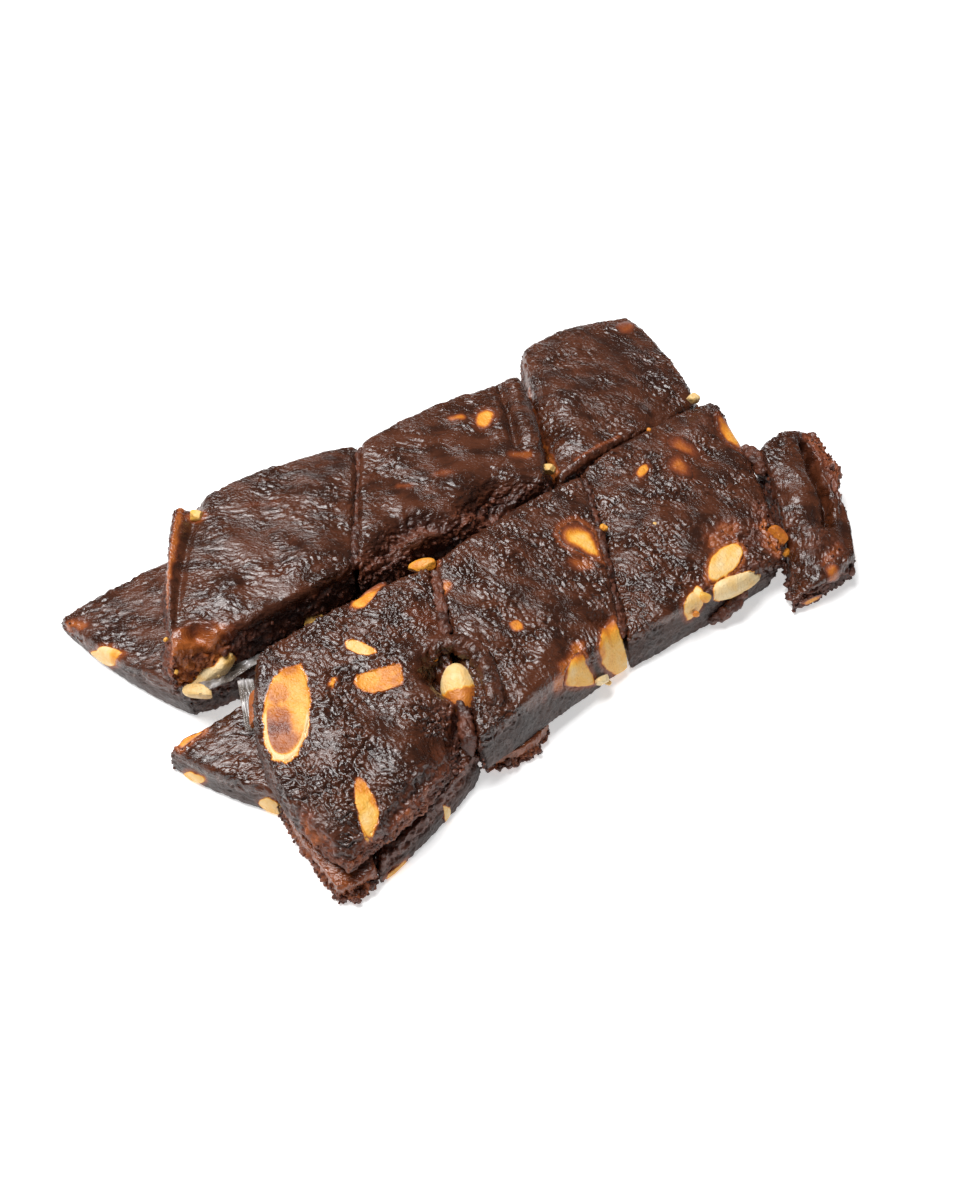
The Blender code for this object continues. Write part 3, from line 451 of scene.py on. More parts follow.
MARKS = {
    "top_back_left": (
        Mark(((-57.2, 39.5), (-65.8, 27.0), (-73.4, 14.5), (-76.8, 7.6)), 0.9, depth=0.7),
        Mark(((-59.2, 42.4), (-68.0, 28.3), (-75.7, 15.9), (-79.8, 8.6)), 1.1, depth=-0.5, glow=0.42),
        Mark(((-46.0, 34.6), (-41.0, 31.8)), 2.0, glow=0.2, calm=0.6),
        Mark(((-77.6, 5.0), (-70.0, 4.6)), 5.0, glow=0.38, calm=0.8, deep=14.0),
        Mark(((-78.4, 1.4), (-70.4, 1.2)), 3.0, glow=0.56, calm=0.8, deep=16.0),
        Mark(((-72.8, 6.6), (-71.4, 4.8)), 1.7, depth=2.4),
        Mark(((-76.0, 8.6), (-72.6, 9.4), (-68.6, 7.0)), 1.0, depth=-0.5, glow=0.2),
        Mark(((-47.0, 11.8), (-43.0, 13.0)), 3.2, depth=-0.7),
        Mark(((-64.0, 13.6), (-61.0, 14.4)), 3.0, depth=-0.6),
        Mark(((-42.0, 43.4), (-36.0, 43.0)), 2.6, depth=-0.6),
        Mark(((-69.2, 10.4), (-67.4, 5.0), (-66.4, -0.4)), 0.8, depth=0.5),
        Mark(((-56.0, 13.0), (-47.0, 12.0)), 3.0, glow=0.16),
    ),
    "top_back_middle": (
        Mark(((27.4, 42.8), (23.6, 33.6), (18.2, 21.8)), 1.1, depth=1.5),
        Mark(((31.6, 42.0), (27.4, 33.4), (23.0, 22.0)), 3.0, depth=-1.3),
        Mark(((9.8, 37.0), (12.0, 36.4)), 1.2, glow=0.55, calm=0.7),
        Mark(((-13.4, 22.8), (-11.6, 22.0)), 1.4, glow=0.3),
        Mark(((-4.2, 21.4), (-1.2, 20.6)), 1.5, glow=0.3),
        Mark(((16.0, 18.8), (19.0, 17.6)), 1.8, glow=0.35),
        Mark(((-17.0, 12.6), (-12.0, 11.6)), 3.0, calm=0.8),
        Mark(((5.0, 24.4), (8.0, 23.4)), 3.4, calm=0.7),
        Mark(((-38.0, 3.0), (-24.5, 9.0), (-16.5, 11.0), (-8.9, 7.0), (-1.9, 9.4), (5.5, 11.6),
              (14.6, 7.4)), 2.4, depth=2.4, torn=0.9),
    ),
    "top_back_right": (
        Mark(((75.0, 52.8), (71.0, 49.0)), 2.6, glow=0.2),
        Mark(((57.4, 16.9), (58.6, 15.6)), 1.6, depth=0.7),
        Mark(((37.1, 44.8), (33.0, 36.5), (28.8, 26.4), (24.6, 14.0)), 1.0, glow=0.45, torn=0.4),
        Mark(((30.0, 13.6), (44.0, 14.8)), 0.8, glow=0.3),
        Mark(((41.6, 42.0), (37.8, 30.0), (33.8, 20.0)), 4.6, depth=-1.2),
    ),
    "top_front_left": (
        Mark(((-28.6, -18.0), (-31.0, -12.0)), 3.6, glow=0.21, calm=0.5, deep=5.0),
        Mark(((-36.4, -36.0), (-40.0, -43.0), (-46.0, -47.0)), 3.4, glow=0.12, torn=0.4, deep=5.0),
        Mark(((-52.9, -15.4), (-56.2, -22.6), (-59.4, -29.7)), 0.7, depth=0.4),
        Mark(((-54.5, -24.4), (-56.4, -28.8), (-58.3, -33.1)), 0.6, depth=0.35),
        Mark(((-55.0, -19.9), (-54.2, -19.3)), 0.8, glow=0.7),
        Mark(((-34.4, -26.6), (-33.4, -31.0)), 3.0, depth=5.0),
        Mark(((-35.0, -26.8), (-35.0, -29.6)), 1.3, depth=2.4),
        Mark(((-36.0, -22.4), (-31.0, -21.0), (-26.6, -22.6)), 1.3, depth=-0.9, torn=0.3),
        Mark(((-68.0, -40.0), (-65.0, -46.0)), 3.4, depth=-0.8),
        Mark(((-58.0, -30.0), (-54.0, -37.0)), 3.6, depth=-0.7),
        Mark(((-50.0, -47.0), (-44.0, -45.6)), 2.6, glow=0.16, torn=0.5, deep=5.0),
        Mark(((-47.2, -46.4), (-53.8, -48.9), (-59.9, -51.1), (-65.0, -56.0)), 0.9, depth=1.3),
        Mark(((-41.4, -47.8), (-47.8, -50.0), (-54.8, -52.7), (-61.5, -56.9)), 3.6, depth=1.6, glow=0.17,
             torn=0.9, deep=6.0),
        Mark(((-75.4, -44.0), (-73.6, -56.6), (-60.0, -54.0), (-46.0, -50.6)), 3.4, glow=0.36,
             torn=0.8, deep=14.0),
    ),
    "top_front_middle": (
        Mark(((-29.3, -23.1), (-25.4, -25.8), (-23.4, -29.4), (-23.3, -34.0), (-24.7, -40.6)), 1.1,
             depth=1.0),
        Mark(((-31.6, -26.0), (-32.6, -33.0)), 3.0, depth=4.0),
        Mark(((-22.0, -9.6), (-20.0, -8.6)), 1.2, glow=0.5),
        Mark(((-4.0, -35.8), (-10.2, -39.6), (-15.2, -43.3), (-20.6, -44.9)), 1.8, glow=0.5),
        Mark(((8.6, -16.4), (10.6, -17.8)), 2.2, glow=0.35),
        Mark(((3.8, -30.6), (5.6, -31.4)), 1.5, depth=2.6),
        Mark(((-13.4, -36.0), (-9.0, -31.6)), 3.4, depth=-1.2),
        Mark(((-5.0, -7.6), (-2.0, -6.0)), 3.0, depth=-0.6),
    ),
    "top_front_right": (
        Mark(((29.0, -16.6), (27.5, -25.6), (28.4, -34.7)), 0.9, depth=0.7),
        Mark(((54.0, -7.4), (59.6, -6.2)), 3.2, calm=0.8),
        Mark(((41.4, -25.6), (47.4, -23.8)), 3.2, glow=0.34, torn=0.7),
        Mark(((53.4, -34.1), (55.5, -27.2)), 3.0, glow=0.40, torn=0.8, deep=7.0),
        Mark(((46.0, -29.0), (52.0, -29.0), (58.0, -23.0)), 3.0, glow=0.18, torn=0.8),
        Mark(((28.8, 8.8), (25.6, 1.0), (22.6, -7.8)), 0.8, depth=-0.2),
        Mark(((20.6, -18.0), (16.4, -27.0)), 3.4, depth=-0.7),
        Mark(((33.8, -12.6), (36.8, -20.0)), 3.6, depth=-0.6),
        Mark(((30.0, -36.0), (38.0, -35.6), (46.0, -35.6)), 1.6, torn=0.7),
        Mark(((61.5, 6.4), (68.0, 9.0), (71.5, 9.6)), 3.4, depth=-1.4, torn=0.2),
    ),
    "low_left": (
        Mark(((-91.2, 38.8), (-89.0, 36.0)), 1.8, glow=0.4, torn=0.4),
    ),
    "low_front_left": (
        Mark(((-85.0, -8.4), (-80.0, -6.8)), 2.0, glow=0.5),
    ),
    "low_front_tip": (
        Mark(((-76.0, -36.0), (-75.0, -48.0), (-71.0, -57.0), (-66.0, -57.0)), 7.0, glow=0.32,
             deep=14.0),
    ),
    "low_front_right": (
        Mark(((-63.0, -54.5), (-50.0, -50.0), (-36.0, -44.5)), 3.0, glow=0.2, torn=0.6),
    ),
    "low_crumb_lump": (
        Mark(((-33.0, -45.0), (-24.0, -47.0), (-15.0, -44.0)), 6.0, glow=0.32, deep=12.0),
    ),
    "low_right": (
        Mark(((81.6, -11.0), (79.4, -15.6), (75.8, -21.4), (73.4, -28.4), (69.0, -34.0)), 1.1,
             depth=4.4),
        Mark(((86.0, -10.0), (82.6, -20.6), (79.4, -28.0)), 3.8, glow=0.30, torn=1.0, deep=8.0),
        Mark(((79.4, -9.4), (74.0, -16.0), (71.6, -24.0), (64.6, -31.0), (61.6, -37.6)), 2.2,
             depth=-1.2, calm=0.3),
        Mark(((66.4, -15.0), (61.0, -25.0), (57.0, -31.0)), 3.4, depth=0.6, torn=0.42),
        Mark(((66.0, -20.6), (64.8, -23.0)), 1.2, depth=1.4),
        Mark(((62.4, -36.0), (58.0, -42.0)), 2.6, depth=-0.6, torn=0.4, glow=0.1),
        Mark(((54.8, -34.4), (51.4, -40.6)), 3.6, depth=5.4),
        Mark(((73.2, -34.0), (69.0, -41.0)), 1.8, depth=0.8, calm=0.8),
        Mark(((66.0, -41.0), (60.0, -43.0)), 2.2, glow=0.3, torn=0.5),
    ),
}

PULLS = {
    "top_front_left": (
        Pull((-38.0, -45.0, 17.0), 8.0, (-3.4, 2.6, -3.4)),
        Pull((-69.6, -53.0, 14.0), 4.0, (1.0, 1.4, -1.4)),
    ),
    "top_back_middle": (
        Pull((3.6, 8.2, 17.0), 5.0, (0.0, 3.0, -3.0)),
        Pull((-24.0, 6.6, 19.0), 4.0, (0.0, 2.0, -1.0)),
    ),
    "top_front_right": (
        Pull((28.2, 5.0, 15.0), 8.0, (0.2, 0.0, -0.9)),
        Pull((20.0, -12.0, 14.0), 8.0, (0.2, 0.0, -1.3)),
        Pull((12.6, -28.0, 13.0), 8.0, (0.2, 0.0, -1.3)),
    ),
    "top_back_left": (
        Pull((-56.3, 42.6, 20.0), 2.6, (0.6, -2.2, -1.0)),
        Pull((-71.0, 23.0, 11.0), 7.0, (-2.4, 0.8, 0.0)),
        Pull((-78.0, 9.0, 11.0), 6.5, (-3.2, 0.8, 0.0)),
    ),
    "low_right": (
        Pull((81.4, -20.0, 9.0), 4.6, (2.4, -0.4, 0.6)),
        Pull((79.4, -30.6, 6.0), 3.2, (-2.4, 0.6, -0.2)),
        Pull((86.2, -9.0, 12.0), 2.4, (0.2, -1.6, -1.0)),
        Pull((50.6, -44.6, 8.0), 4.0, (0.6, 1.6, -1.6)),
    ),
    "low_front_tip": (
        Pull((-70.0, -55.0, 4.0), 3.4, (0.4, 1.6, -0.6)),
    ),
    "top_back_right": (
        Pull((36.4, 44.0, 14.8), 9.0, (0.4, 0.0, -1.2)),
        Pull((30.0, 28.0, 15.0), 9.0, (0.4, 0.0, -1.6)),
        Pull((24.6, 14.0, 15.0), 8.0, (0.2, 0.0, -1.2)),
    ),
    "top_front_middle": (
        Pull((5.2, -34.6, 13.4), 3.0, (0.0, 1.6, -0.8)),
    ),
}


def noise(points, size, seed):
    """Gradient noise of about -1 to 1. A random direction stands at each corner of the cell
    of this size that a point lies in, and the offsets along the eight are blended."""
    spot = points / size
    cell = np.floor(spot).astype(np.int64)
    part = spot - cell
    ease = part**3 * (part * (part * 6.0 - 15.0) + 10.0)
    total = np.zeros(points.shape[:-1])
    for corner in product((0, 1), repeat=3):
        x, y, z = np.moveaxis(cell + corner, -1, 0)
        code = (x * 374761393 + y * 668265263 + z * 1103515245 + seed * 974711) & 0xFFFFFFFF
        code = ((code ^ (code >> 13)) * 1274126177) & 0xFFFFFFFF
        lean = (GRADIENTS[(code ^ (code >> 16)) & 255] * (part - corner)).sum(axis=-1)
        weight = np.prod(np.where(corner, ease, 1.0 - ease), axis=-1)
        total += weight * lean
    return 1.5 * total


def billows(points, size, seed, crease=0.05):
    """Round lumps of -0.5 to 0.5 between sharp creases: the size of the noise, softened in
    the crease and levelled off above."""
    height = np.sqrt(noise(points, size, seed) ** 2 + crease**2) - crease
    return np.tanh(2.6 * height) - 0.5


def layered(points, layers, seed, kind=noise, step=1):
    """The sum of layers of noise, each with its height, its size and the next seed."""
    return sum(height * kind(points, size, seed + step * order)
               for order, (height, size) in enumerate(layers))


def warped(points, size, amount, seed):
    """The points moved by three noises, so that what is laid on them wanders."""
    shift = [noise(points, size, seed + axis) for axis in range(3)]
    return points + amount * np.stack(shift, axis=-1)


def fade(value):
    """Runs smoothly from 0 to 1 as the value does."""
    value = np.clip(value, 0.0, 1.0)
    return value * value * (3.0 - 2.0 * value)


def seed_of(name):
    """A number that stays the same for a name."""
    return sum((place + 1) * ord(letter) for place, letter in enumerate(name)) % 9973


def lumps(points, wavelength, height, seed):
    """Slow swells: a sum of plane waves in directions and phases drawn from the seed."""
    draw = np.random.default_rng(seed)
    heading = draw.normal(size=(WAVES_EACH, 3))
    heading /= np.linalg.norm(heading, axis=1, keepdims=True)
    phase = draw.uniform(0.0, 2.0 * np.pi, WAVES_EACH)
    stretch = draw.uniform(0.75, 1.3, WAVES_EACH)
    angle = points @ (heading * stretch[:, None]).T * (2.0 * np.pi / wavelength) + phase
    return WAVE_GAIN * height * np.sin(angle).mean(axis=-1)


def relief(points, piece):
    """How far the surface of this piece stands out at the points."""
    seed = seed_of(piece.name)
    swells = (lumps(points, wave, height, seed + order)
              for order, (wave, height) in enumerate(RELIEF_WAVES))
    return piece.relief * sum(swells)


def side_curves(piece):
    """The four sides as functions of a share 0 to 1: back, right, front and left."""
    corners = np.array(piece.corners)
    middle = corners.mean(axis=0)

    def side(start, end, bow):
        run = end - start
        outward = np.array([run[1], -run[0]]) / np.linalg.norm(run)
        if outward @ ((start + end) / 2 - middle) < 0:
            outward = -outward

        def curve(share):
            share = share[..., None]
            return start + run * share + outward * bow * 4.0 * share * (1.0 - share)

        return curve

    back_left, back_right, front_right, front_left = corners
    return (side(back_left, back_right, piece.bow[0]), side(back_right, front_right, piece.bow[1]),
            side(front_left, front_right, piece.bow[2]), side(back_left, front_left, piece.bow[3]))


def blend_corners(values, across, down):
    """Bilinear mix of four corner values."""
    back = values[0] * (1.0 - across) + values[1] * across
    front = values[3] * (1.0 - across) + values[2] * across
    return back * (1.0 - down) + front * down


def rounded(across, down):
    """Shares 0 to 1 whose corners are drawn in, so the outline has no sharp corner."""
    a, b = 2.0 * across - 1.0, 2.0 * down - 1.0
    drawn_a = a * np.sqrt(1.0 - CORNER_ROUNDING * b * b / 2.0)
    drawn_b = b * np.sqrt(1.0 - CORNER_ROUNDING * a * a / 2.0)
    return (drawn_a + 1.0) / 2.0, (drawn_b + 1.0) / 2.0


def outline_point(piece, across, down):
    """Where the shares fall in plan, as a patch stretched between the four sides."""
    back, right, front, left = side_curves(piece)
    across, down = rounded(across, down)
    u, v = across[..., None], down[..., None]
    corners = [np.array(corner) for corner in piece.corners]
    plan = ((1.0 - v) * back(across) + v * front(across) + (1.0 - u) * left(down)
            + u * right(down) - blend_corners(corners, u, v))
    middle = sum(corners) / 4.0
    return middle + (plan - middle) * SQUEEZE


def shares_at(piece, plan):
    """The shares that fall on these places in plan, found by Newton's steps."""
    across = np.full(plan.shape[:-1], 0.5)
    down = across.copy()
    small = 1e-4
    for _ in range(8):
        here = outline_point(piece, across, down)
        along = (outline_point(piece, across + small, down) - here) / small
        below = (outline_point(piece, across, down + small) - here) / small
        miss = plan - here
        area = along[..., 0] * below[..., 1] - along[..., 1] * below[..., 0]
        across = across + (miss[..., 0] * below[..., 1] - miss[..., 1] * below[..., 0]) / area
        down = down + (along[..., 0] * miss[..., 1] - along[..., 1] * miss[..., 0]) / area
        across, down = np.clip(across, 0.0, 1.0), np.clip(down, 0.0, 1.0)
    return across, down


def border_shares(side, share, inward):
    """The shares across and down at this share of a side, and this far in from it."""
    near, far = (inward, 1.0 - inward)
    return ((share, near), (far, share), (share, far), (near, share))[side]


def edge_distances(across, down):
    """About how far it is to the back, right, front and left side, in millimetres."""
    return down * FACE[1], (1.0 - across) * FACE[0], (1.0 - down) * FACE[1], across * FACE[0]


def side_length(piece, side):
    """How long a side is from corner to corner."""
    first, second = SIDE_ENDS[side]
    return SQUEEZE * math.dist(piece.corners[first], piece.corners[second])


def unfolded(piece, side, points, across, down, depth):
    """The points' places on the skin: in plan, or along a side and over its edge."""
    if side == TOP:
        return points[:, :2]
    share = (across, down, across, down)[side]
    over = depth - edge_distances(across, down)[side]
    return np.stack([share * side_length(piece, side), over], axis=-1)


def edge_spaced(steps):
    """Shares 0 to 1 that lie closer together near both ends."""
    even = np.linspace(0.0, 1.0, steps + 1)
    gathered = (1.0 - np.cos(np.pi * even)) / 2.0
    return (1.0 - EDGE_GATHERING) * even + EDGE_GATHERING * gathered


def top_surface(piece, across, down):
    """The top: level between the corners, swollen in the middle and rolled off at the edges."""
    plan = outline_point(piece, across, down)
    near_x = np.minimum(across, 1.0 - across) * FACE[0]
    near_y = np.minimum(down, 1.0 - down) * FACE[1]
    roll_x = np.clip(1.0 - near_x / EDGE_ROLL, 0.0, 1.0)
    roll_y = np.clip(1.0 - near_y / EDGE_ROLL, 0.0, 1.0)
    reach = np.clip(roll_x**2 + roll_y**2, 0.0, 1.0)
    roll = EDGE_ROLL * (1.0 - np.sqrt(1.0 - reach))
    swell = 16.0 * across * (1.0 - across) * down * (1.0 - down)
    lip = piece.lip * np.exp(-((across * FACE[0] / LIP_WIDTH) ** 2))
    sagging = sum(drop * np.exp(-edge / SHOULDER)
                  for drop, edge in zip(piece.sag, edge_distances(across, down)))
    height = blend_corners(piece.top, across, down) + CROWN * piece.relief * swell + lip
    height -= roll + sagging
    points = np.concatenate([plan, height[..., None]], axis=-1)
    points[..., 2] += np.minimum(relief(points, piece), MOST_RISE) * (1.0 - 0.6 * reach)
    return points


def floor_at(piece, across, down):
    """Height of the underside, sunk a little into the layer below."""
    floor = blend_corners(piece.floor, across, down)
    return np.maximum(floor - SINKING, np.minimum(floor, 0.0))


def side_surface(piece, across, down, share):
    """The sides, straight from the rim at share 0 to the foot at share 1, swollen and dented
    between, with a soft lower edge. Gives the depth below the rim too."""
    rim = top_surface(piece, across, down)
    outward = rim[..., :2] - np.mean(piece.corners, axis=0)
    outward /= np.linalg.norm(outward, axis=-1, keepdims=True)
    floor = floor_at(piece, across, down)
    shift = blend_corners(np.array(piece.foot), across[..., None], down[..., None])
    height = rim[..., 2] * (1.0 - share) + floor * share
    plan = rim[..., :2] + shift * share[..., None]
    side = np.concatenate([plan, height[..., None]], axis=-1)
    hollow = SIDE_RELIEF * np.clip(relief(side, piece), *SIDE_RELIEF_RANGE)
    over_foot = np.clip(1.0 - (height - floor) / FOOT_ROLL, 0.0, 1.0)
    tuck = FOOT_ROLL * (1.0 - np.sqrt(1.0 - over_foot**2)) * fade(share * 4.0)
    arch = np.clip(np.sin(np.pi * share), 0.0, 1.0)
    push = SIDE_SWELL * arch + hollow * arch**0.5 - tuck
    side[..., :2] += outward * push[..., None]
    return side, rim[..., 2] - height


def grid_quads(index):
    """The corners of each cell in a grid of point numbers."""
    cells = np.stack([index[:-1, :-1], index[1:, :-1], index[1:, 1:], index[:-1, 1:]], axis=-1)
    return cells.reshape(-1, 4)


def grid_border(index):
    """The point numbers once round the border of a grid."""
    return np.concatenate([index[0, :-1], index[:-1, -1], index[-1, :0:-1], index[:0:-1, 0]])


def diamond_surface(piece):
    """The closed skin of a diamond: a square grid on top, rings down its sides, and rings that
    shrink to a point below. Gives points, faces, the shares of each point and its depth."""
    steps, rows = piece.steps
    shares = edge_spaced(steps)
    down, across = np.meshgrid(shares, shares, indexing="ij")
    top = top_surface(piece, across, down).reshape(-1, 3)
    index = np.arange((steps + 1) ** 2).reshape(steps + 1, steps + 1)
    faces = [grid_quads(index)]
    ring = grid_border(index)
    across, down = across.reshape(-1), down.reshape(-1)
    share = np.broadcast_to((np.arange(1, rows + 1) / rows)[:, None], (rows, len(ring)))
    side, side_depth = side_surface(piece, across[ring], down[ring], share)
    inward = (np.arange(1, UNDER_ROWS + 1) / (UNDER_ROWS + 1))[:, None]
    foot = side[-1, :, :2]
    centre = foot.mean(axis=0)
    under_plan = centre + (foot - centre) * (1.0 - inward[..., None])
    under_floor = floor_at(piece, 0.5 + (across[ring] - 0.5) * (1.0 - inward),
                           0.5 + (down[ring] - 0.5) * (1.0 - inward))
    under = np.concatenate([under_plan, under_floor[..., None]], axis=-1)
    last = under[-1].mean(axis=0, keepdims=True)
    points = np.concatenate([top, side.reshape(-1, 3), under.reshape(-1, 3), last])
    count = len(ring)
    both = rows + UNDER_ROWS
    rings = np.concatenate([ring[None], len(top) + np.arange(both * count).reshape(-1, count)])
    before = np.roll(rings, 1, axis=1)
    faces.append(np.stack([before[:-1], rings[:-1], rings[1:], before[1:]], axis=-1).reshape(-1, 4))
    fan = np.stack([before[-1], rings[-1], np.full(count, len(points) - 1)], axis=-1)
    all_across = np.concatenate([across, np.tile(across[ring], both), [0.5]])
    all_down = np.concatenate([down, np.tile(down[ring], both), [0.5]])
    under_depth = side_depth[-1].mean() + 0.0 * under[..., 2]
    depth = np.concatenate([np.zeros(len(top)), side_depth.reshape(-1), under_depth.reshape(-1),
                            under_depth[-1, :1]])
    return points, np.concatenate(faces).tolist() + fan.tolist(), all_across, all_down, depth


def path_distance(points, path):
    """How far each point is in plan from the nearest stretch of the path."""
    nearest = np.full(len(points), np.inf)
    for start, end in zip(np.array(path[:-1]), np.array(path[1:])):
        run = end - start
        share = np.clip(((points[:, :2] - start) @ run) / (run @ run), 0.0, 1.0)
        gap = points[:, :2] - start - share[:, None] * run
        nearest = np.minimum(nearest, np.linalg.norm(gap, axis=1))
    return nearest


def facing(nut):
    """The turn matrix of a nut: pitch and roll first, then its turn."""
    turn, pitch, roll = (math.radians(angle) for angle in nut.turn)
    tilt = Euler((roll, pitch, 0.0)).to_matrix()
    return np.array(Matrix.Rotation(turn, 3, "Z") @ tilt)


def outside(points, nut):
    """How far the points lie outside a chunk's superellipsoid, below 0 inside it."""
    local = (points - np.array(nut.at)) @ facing(nut)
    power = 2.0 / nut.boxy
    level = (np.abs(local / (np.array(nut.size) / 2.0)) ** power).sum(axis=1) ** (1.0 / power)
    return np.linalg.norm(local, axis=1) * (1.0 - 1.0 / np.maximum(level, 1e-3))


def reach_of(outline, offsets):
    """How far out the offsets lie, 1 on the outline. Each edge of the outline gives a slope that
    is 1 on it, and the slopes are blended so that the corners come out round."""
    corners = np.array(outline)
    run = np.roll(corners, -1, axis=0) - corners
    normal = np.stack([run[:, 1], -run[:, 0]], axis=1) / np.linalg.norm(run, axis=1, keepdims=True)
    away = (normal * corners).sum(axis=1)
    slopes = np.maximum(offsets @ (normal / away[:, None]).T, 1e-6)
    return (slopes**ROUNDING).sum(axis=1) ** (1.0 / ROUNDING)


def window(nut, offsets):
    """How ripe a window shows at each offset from its middle: fading out under the paste at its
    wandering border, with a slow mottle and its spots."""
    seed = seed_of(nut.name)
    reach = reach_of(nut.outline, offsets)
    flat = np.concatenate([offsets, np.zeros((len(offsets), 1))], axis=1)
    wander = layered(flat, WINDOW_BORDER, seed + 62, step=2)
    bare = fade((1.04 - reach + wander) / nut.film)
    ripe = nut.ripe + layered(flat, WINDOW_MOTTLE, seed + 60)
    for x, y, spread, change in nut.spots:
        away = np.linalg.norm(offsets - np.array((x, y)), axis=1) / spread
        ripe = ripe + change * fade((1.3 - away + 2.0 * wander) / 0.7)
    angle, strength = nut.rim
    turned = np.arctan2(offsets[:, 1], offsets[:, 0]) - math.radians(angle)
    border = fade((reach - 0.80) / 0.05) * fade((np.cos(turned) + 0.2) / 0.5)
    ripe = ripe * (1.0 - border) + (nut.ripe + strength) * border if strength else ripe
    return bare * np.clip(ripe, 0.0, 1.0)


def sculpted(points, piece, depth):
    """The points after the pulls and marks of this piece, and what the marks add to the masks."""
    points = points.copy()
    for pull in PULLS.get(piece.name, ()):
        away = np.linalg.norm(points - np.array(pull.at), axis=1) / pull.reach
        points += np.exp(-(away**2))[:, None] * np.array(pull.move)
    masks = {"glow": 0.0, "torn": 0.0, "calm": 0.0}
    wander = 0.5 * noise(points, 2.4, 31)
    for mark in MARKS.get(piece.name, ()):
        upper = np.exp(-((depth / mark.deep) ** 2))
        away = path_distance(points, mark.path) / mark.width
        weight = np.exp(-(away**2)) * upper
        loose = np.exp(-(np.maximum(away + wander, 0.0) ** 2)) * upper
        points[:, 2] -= mark.depth * weight
        for name in masks:
            masks[name] = np.maximum(masks[name], getattr(mark, name) * loose)
    return points, {name: np.zeros(len(points)) + value for name, value in masks.items()}


def dressed(piece, looks, points, normals, masks, across, down, depth):
    """The final points of a diamond, moved along their normals, and its masks.

    Tops get wrinkles: a web of lumps, finer folds and raised flecks, drawn out along the flow
    and warped, stronger in some patches. Torn sides get lumps of three sizes, cut sides a faint
    smear and pits, and all get slow dents. The paste sinks where a nut shows in it and glows
    round it."""
    seed = seed_of(piece.name)
    turn = math.radians(piece.flow[0])
    spin = np.array([[math.cos(turn), -math.sin(turn), 0.0], [math.sin(turn), math.cos(turn), 0.0],
                     [0.0, 0.0, 1.0]])
    drawn = warped(points, 5.0, 1.6, seed) @ spin / np.array([piece.flow[1], 1.0, 1.0])
    torn = masks["torn"]
    cut = np.zeros(len(points))
    away = edge_distances(across, down)
    wander = layered(points, EDGE_WANDER, seed + 5)
    for side, tear in zip(away, piece.torn):
        near = np.exp(-((np.maximum(side + wander, 0.0) / EDGE_WIDTH) ** 2))
        edge = near * fade(depth / 1.2 + 0.35)
        torn = np.maximum(torn, tear * edge)
        cut = np.maximum(cut, (1.0 - tear) * edge * fade(depth / 1.4 - 0.4))
    patch = fade(0.5 + layered(points, WRINKLED_PATCHES, seed + 7))
    strength = (0.28 + 0.82 * patch) * (1.0 - masks["calm"]) * (1.0 - cut) * (1.0 - 0.6 * torn)
    web = billows(drawn, WRINKLE_WEB[1], seed + 10)
    fleck = fade((noise(drawn, WRINKLE_FLECKS[1], seed + 11) - 0.02) / 0.5)
    folds = billows(drawn, WRINKLE_FOLDS[1], seed + 12)
    wrinkle = piece.wrinkles * (WRINKLE_WEB[0] * web + WRINKLE_FOLDS[0] * folds
                                + WRINKLE_FLECKS[0] * fleck)
    lump = layered(points, TORN_LUMPS, seed + 20, billows) - LUMPS_SUNK
    smear = noise(drawn, 1.6, seed + 30)
    pits = fade((noise(points, 1.3, seed + 31) - 0.45) / 0.3)
    dents = noise(points, DENT_SIZE, seed + 40) - 0.2
    move = looks.wrinkle_height * strength * wrinkle
    move += looks.lump_height * torn * lump
    move += cut * (0.06 * smear - 0.3 * pits)
    move += DENT_DEPTH * dents * (1.0 - 0.5 * cut)
    for nut in WINDOWS + CHUNKS:
        if nut.host != piece.name:
            continue
        if isinstance(nut, Chunk):
            gap = outside(points, nut)
        else:
            offsets = unfolded(piece, nut.side, points, across, down, depth) - np.array(nut.at)
            reach = reach_of(nut.outline, offsets)
            upper = 1.0 - fade(depth / 2.0) if nut.side == TOP else 1.0
            masks["glow"] = np.maximum(masks["glow"], upper * window(nut, offsets))
            bed = upper * fade((0.86 - reach) / 0.2)
            move = move * (1.0 - 0.7 * bed) - BED_DEPTH * bed
            gap = np.linalg.norm(offsets, axis=1) * (1.0 - 1.0 / reach) + 9.0 * (1.0 - upper)
        wide = np.maximum(gap + 0.4 * noise(points, 1.5, seed + 50), 0.0)
        masks["glow"] = np.maximum(masks["glow"], nut.halo * np.exp(-((wide / GLOW_REACH) ** 2)))
    points = points + normals * np.minimum(move, piece.rough)[:, None]
    masks["torn"] = torn
    masks["cut"] = cut
    masks["drawn"] = drawn
    # The crest mask is 1 on the wrinkles' crests and falls towards 0 in their creases; the paste's
    # material paints shade where it is low.
    masks["crest"] = np.clip(1.0 - piece.wrinkles * strength * (1.0 - 4.0 * (web + 0.5)), 0.0, 1.0)
    return points, masks


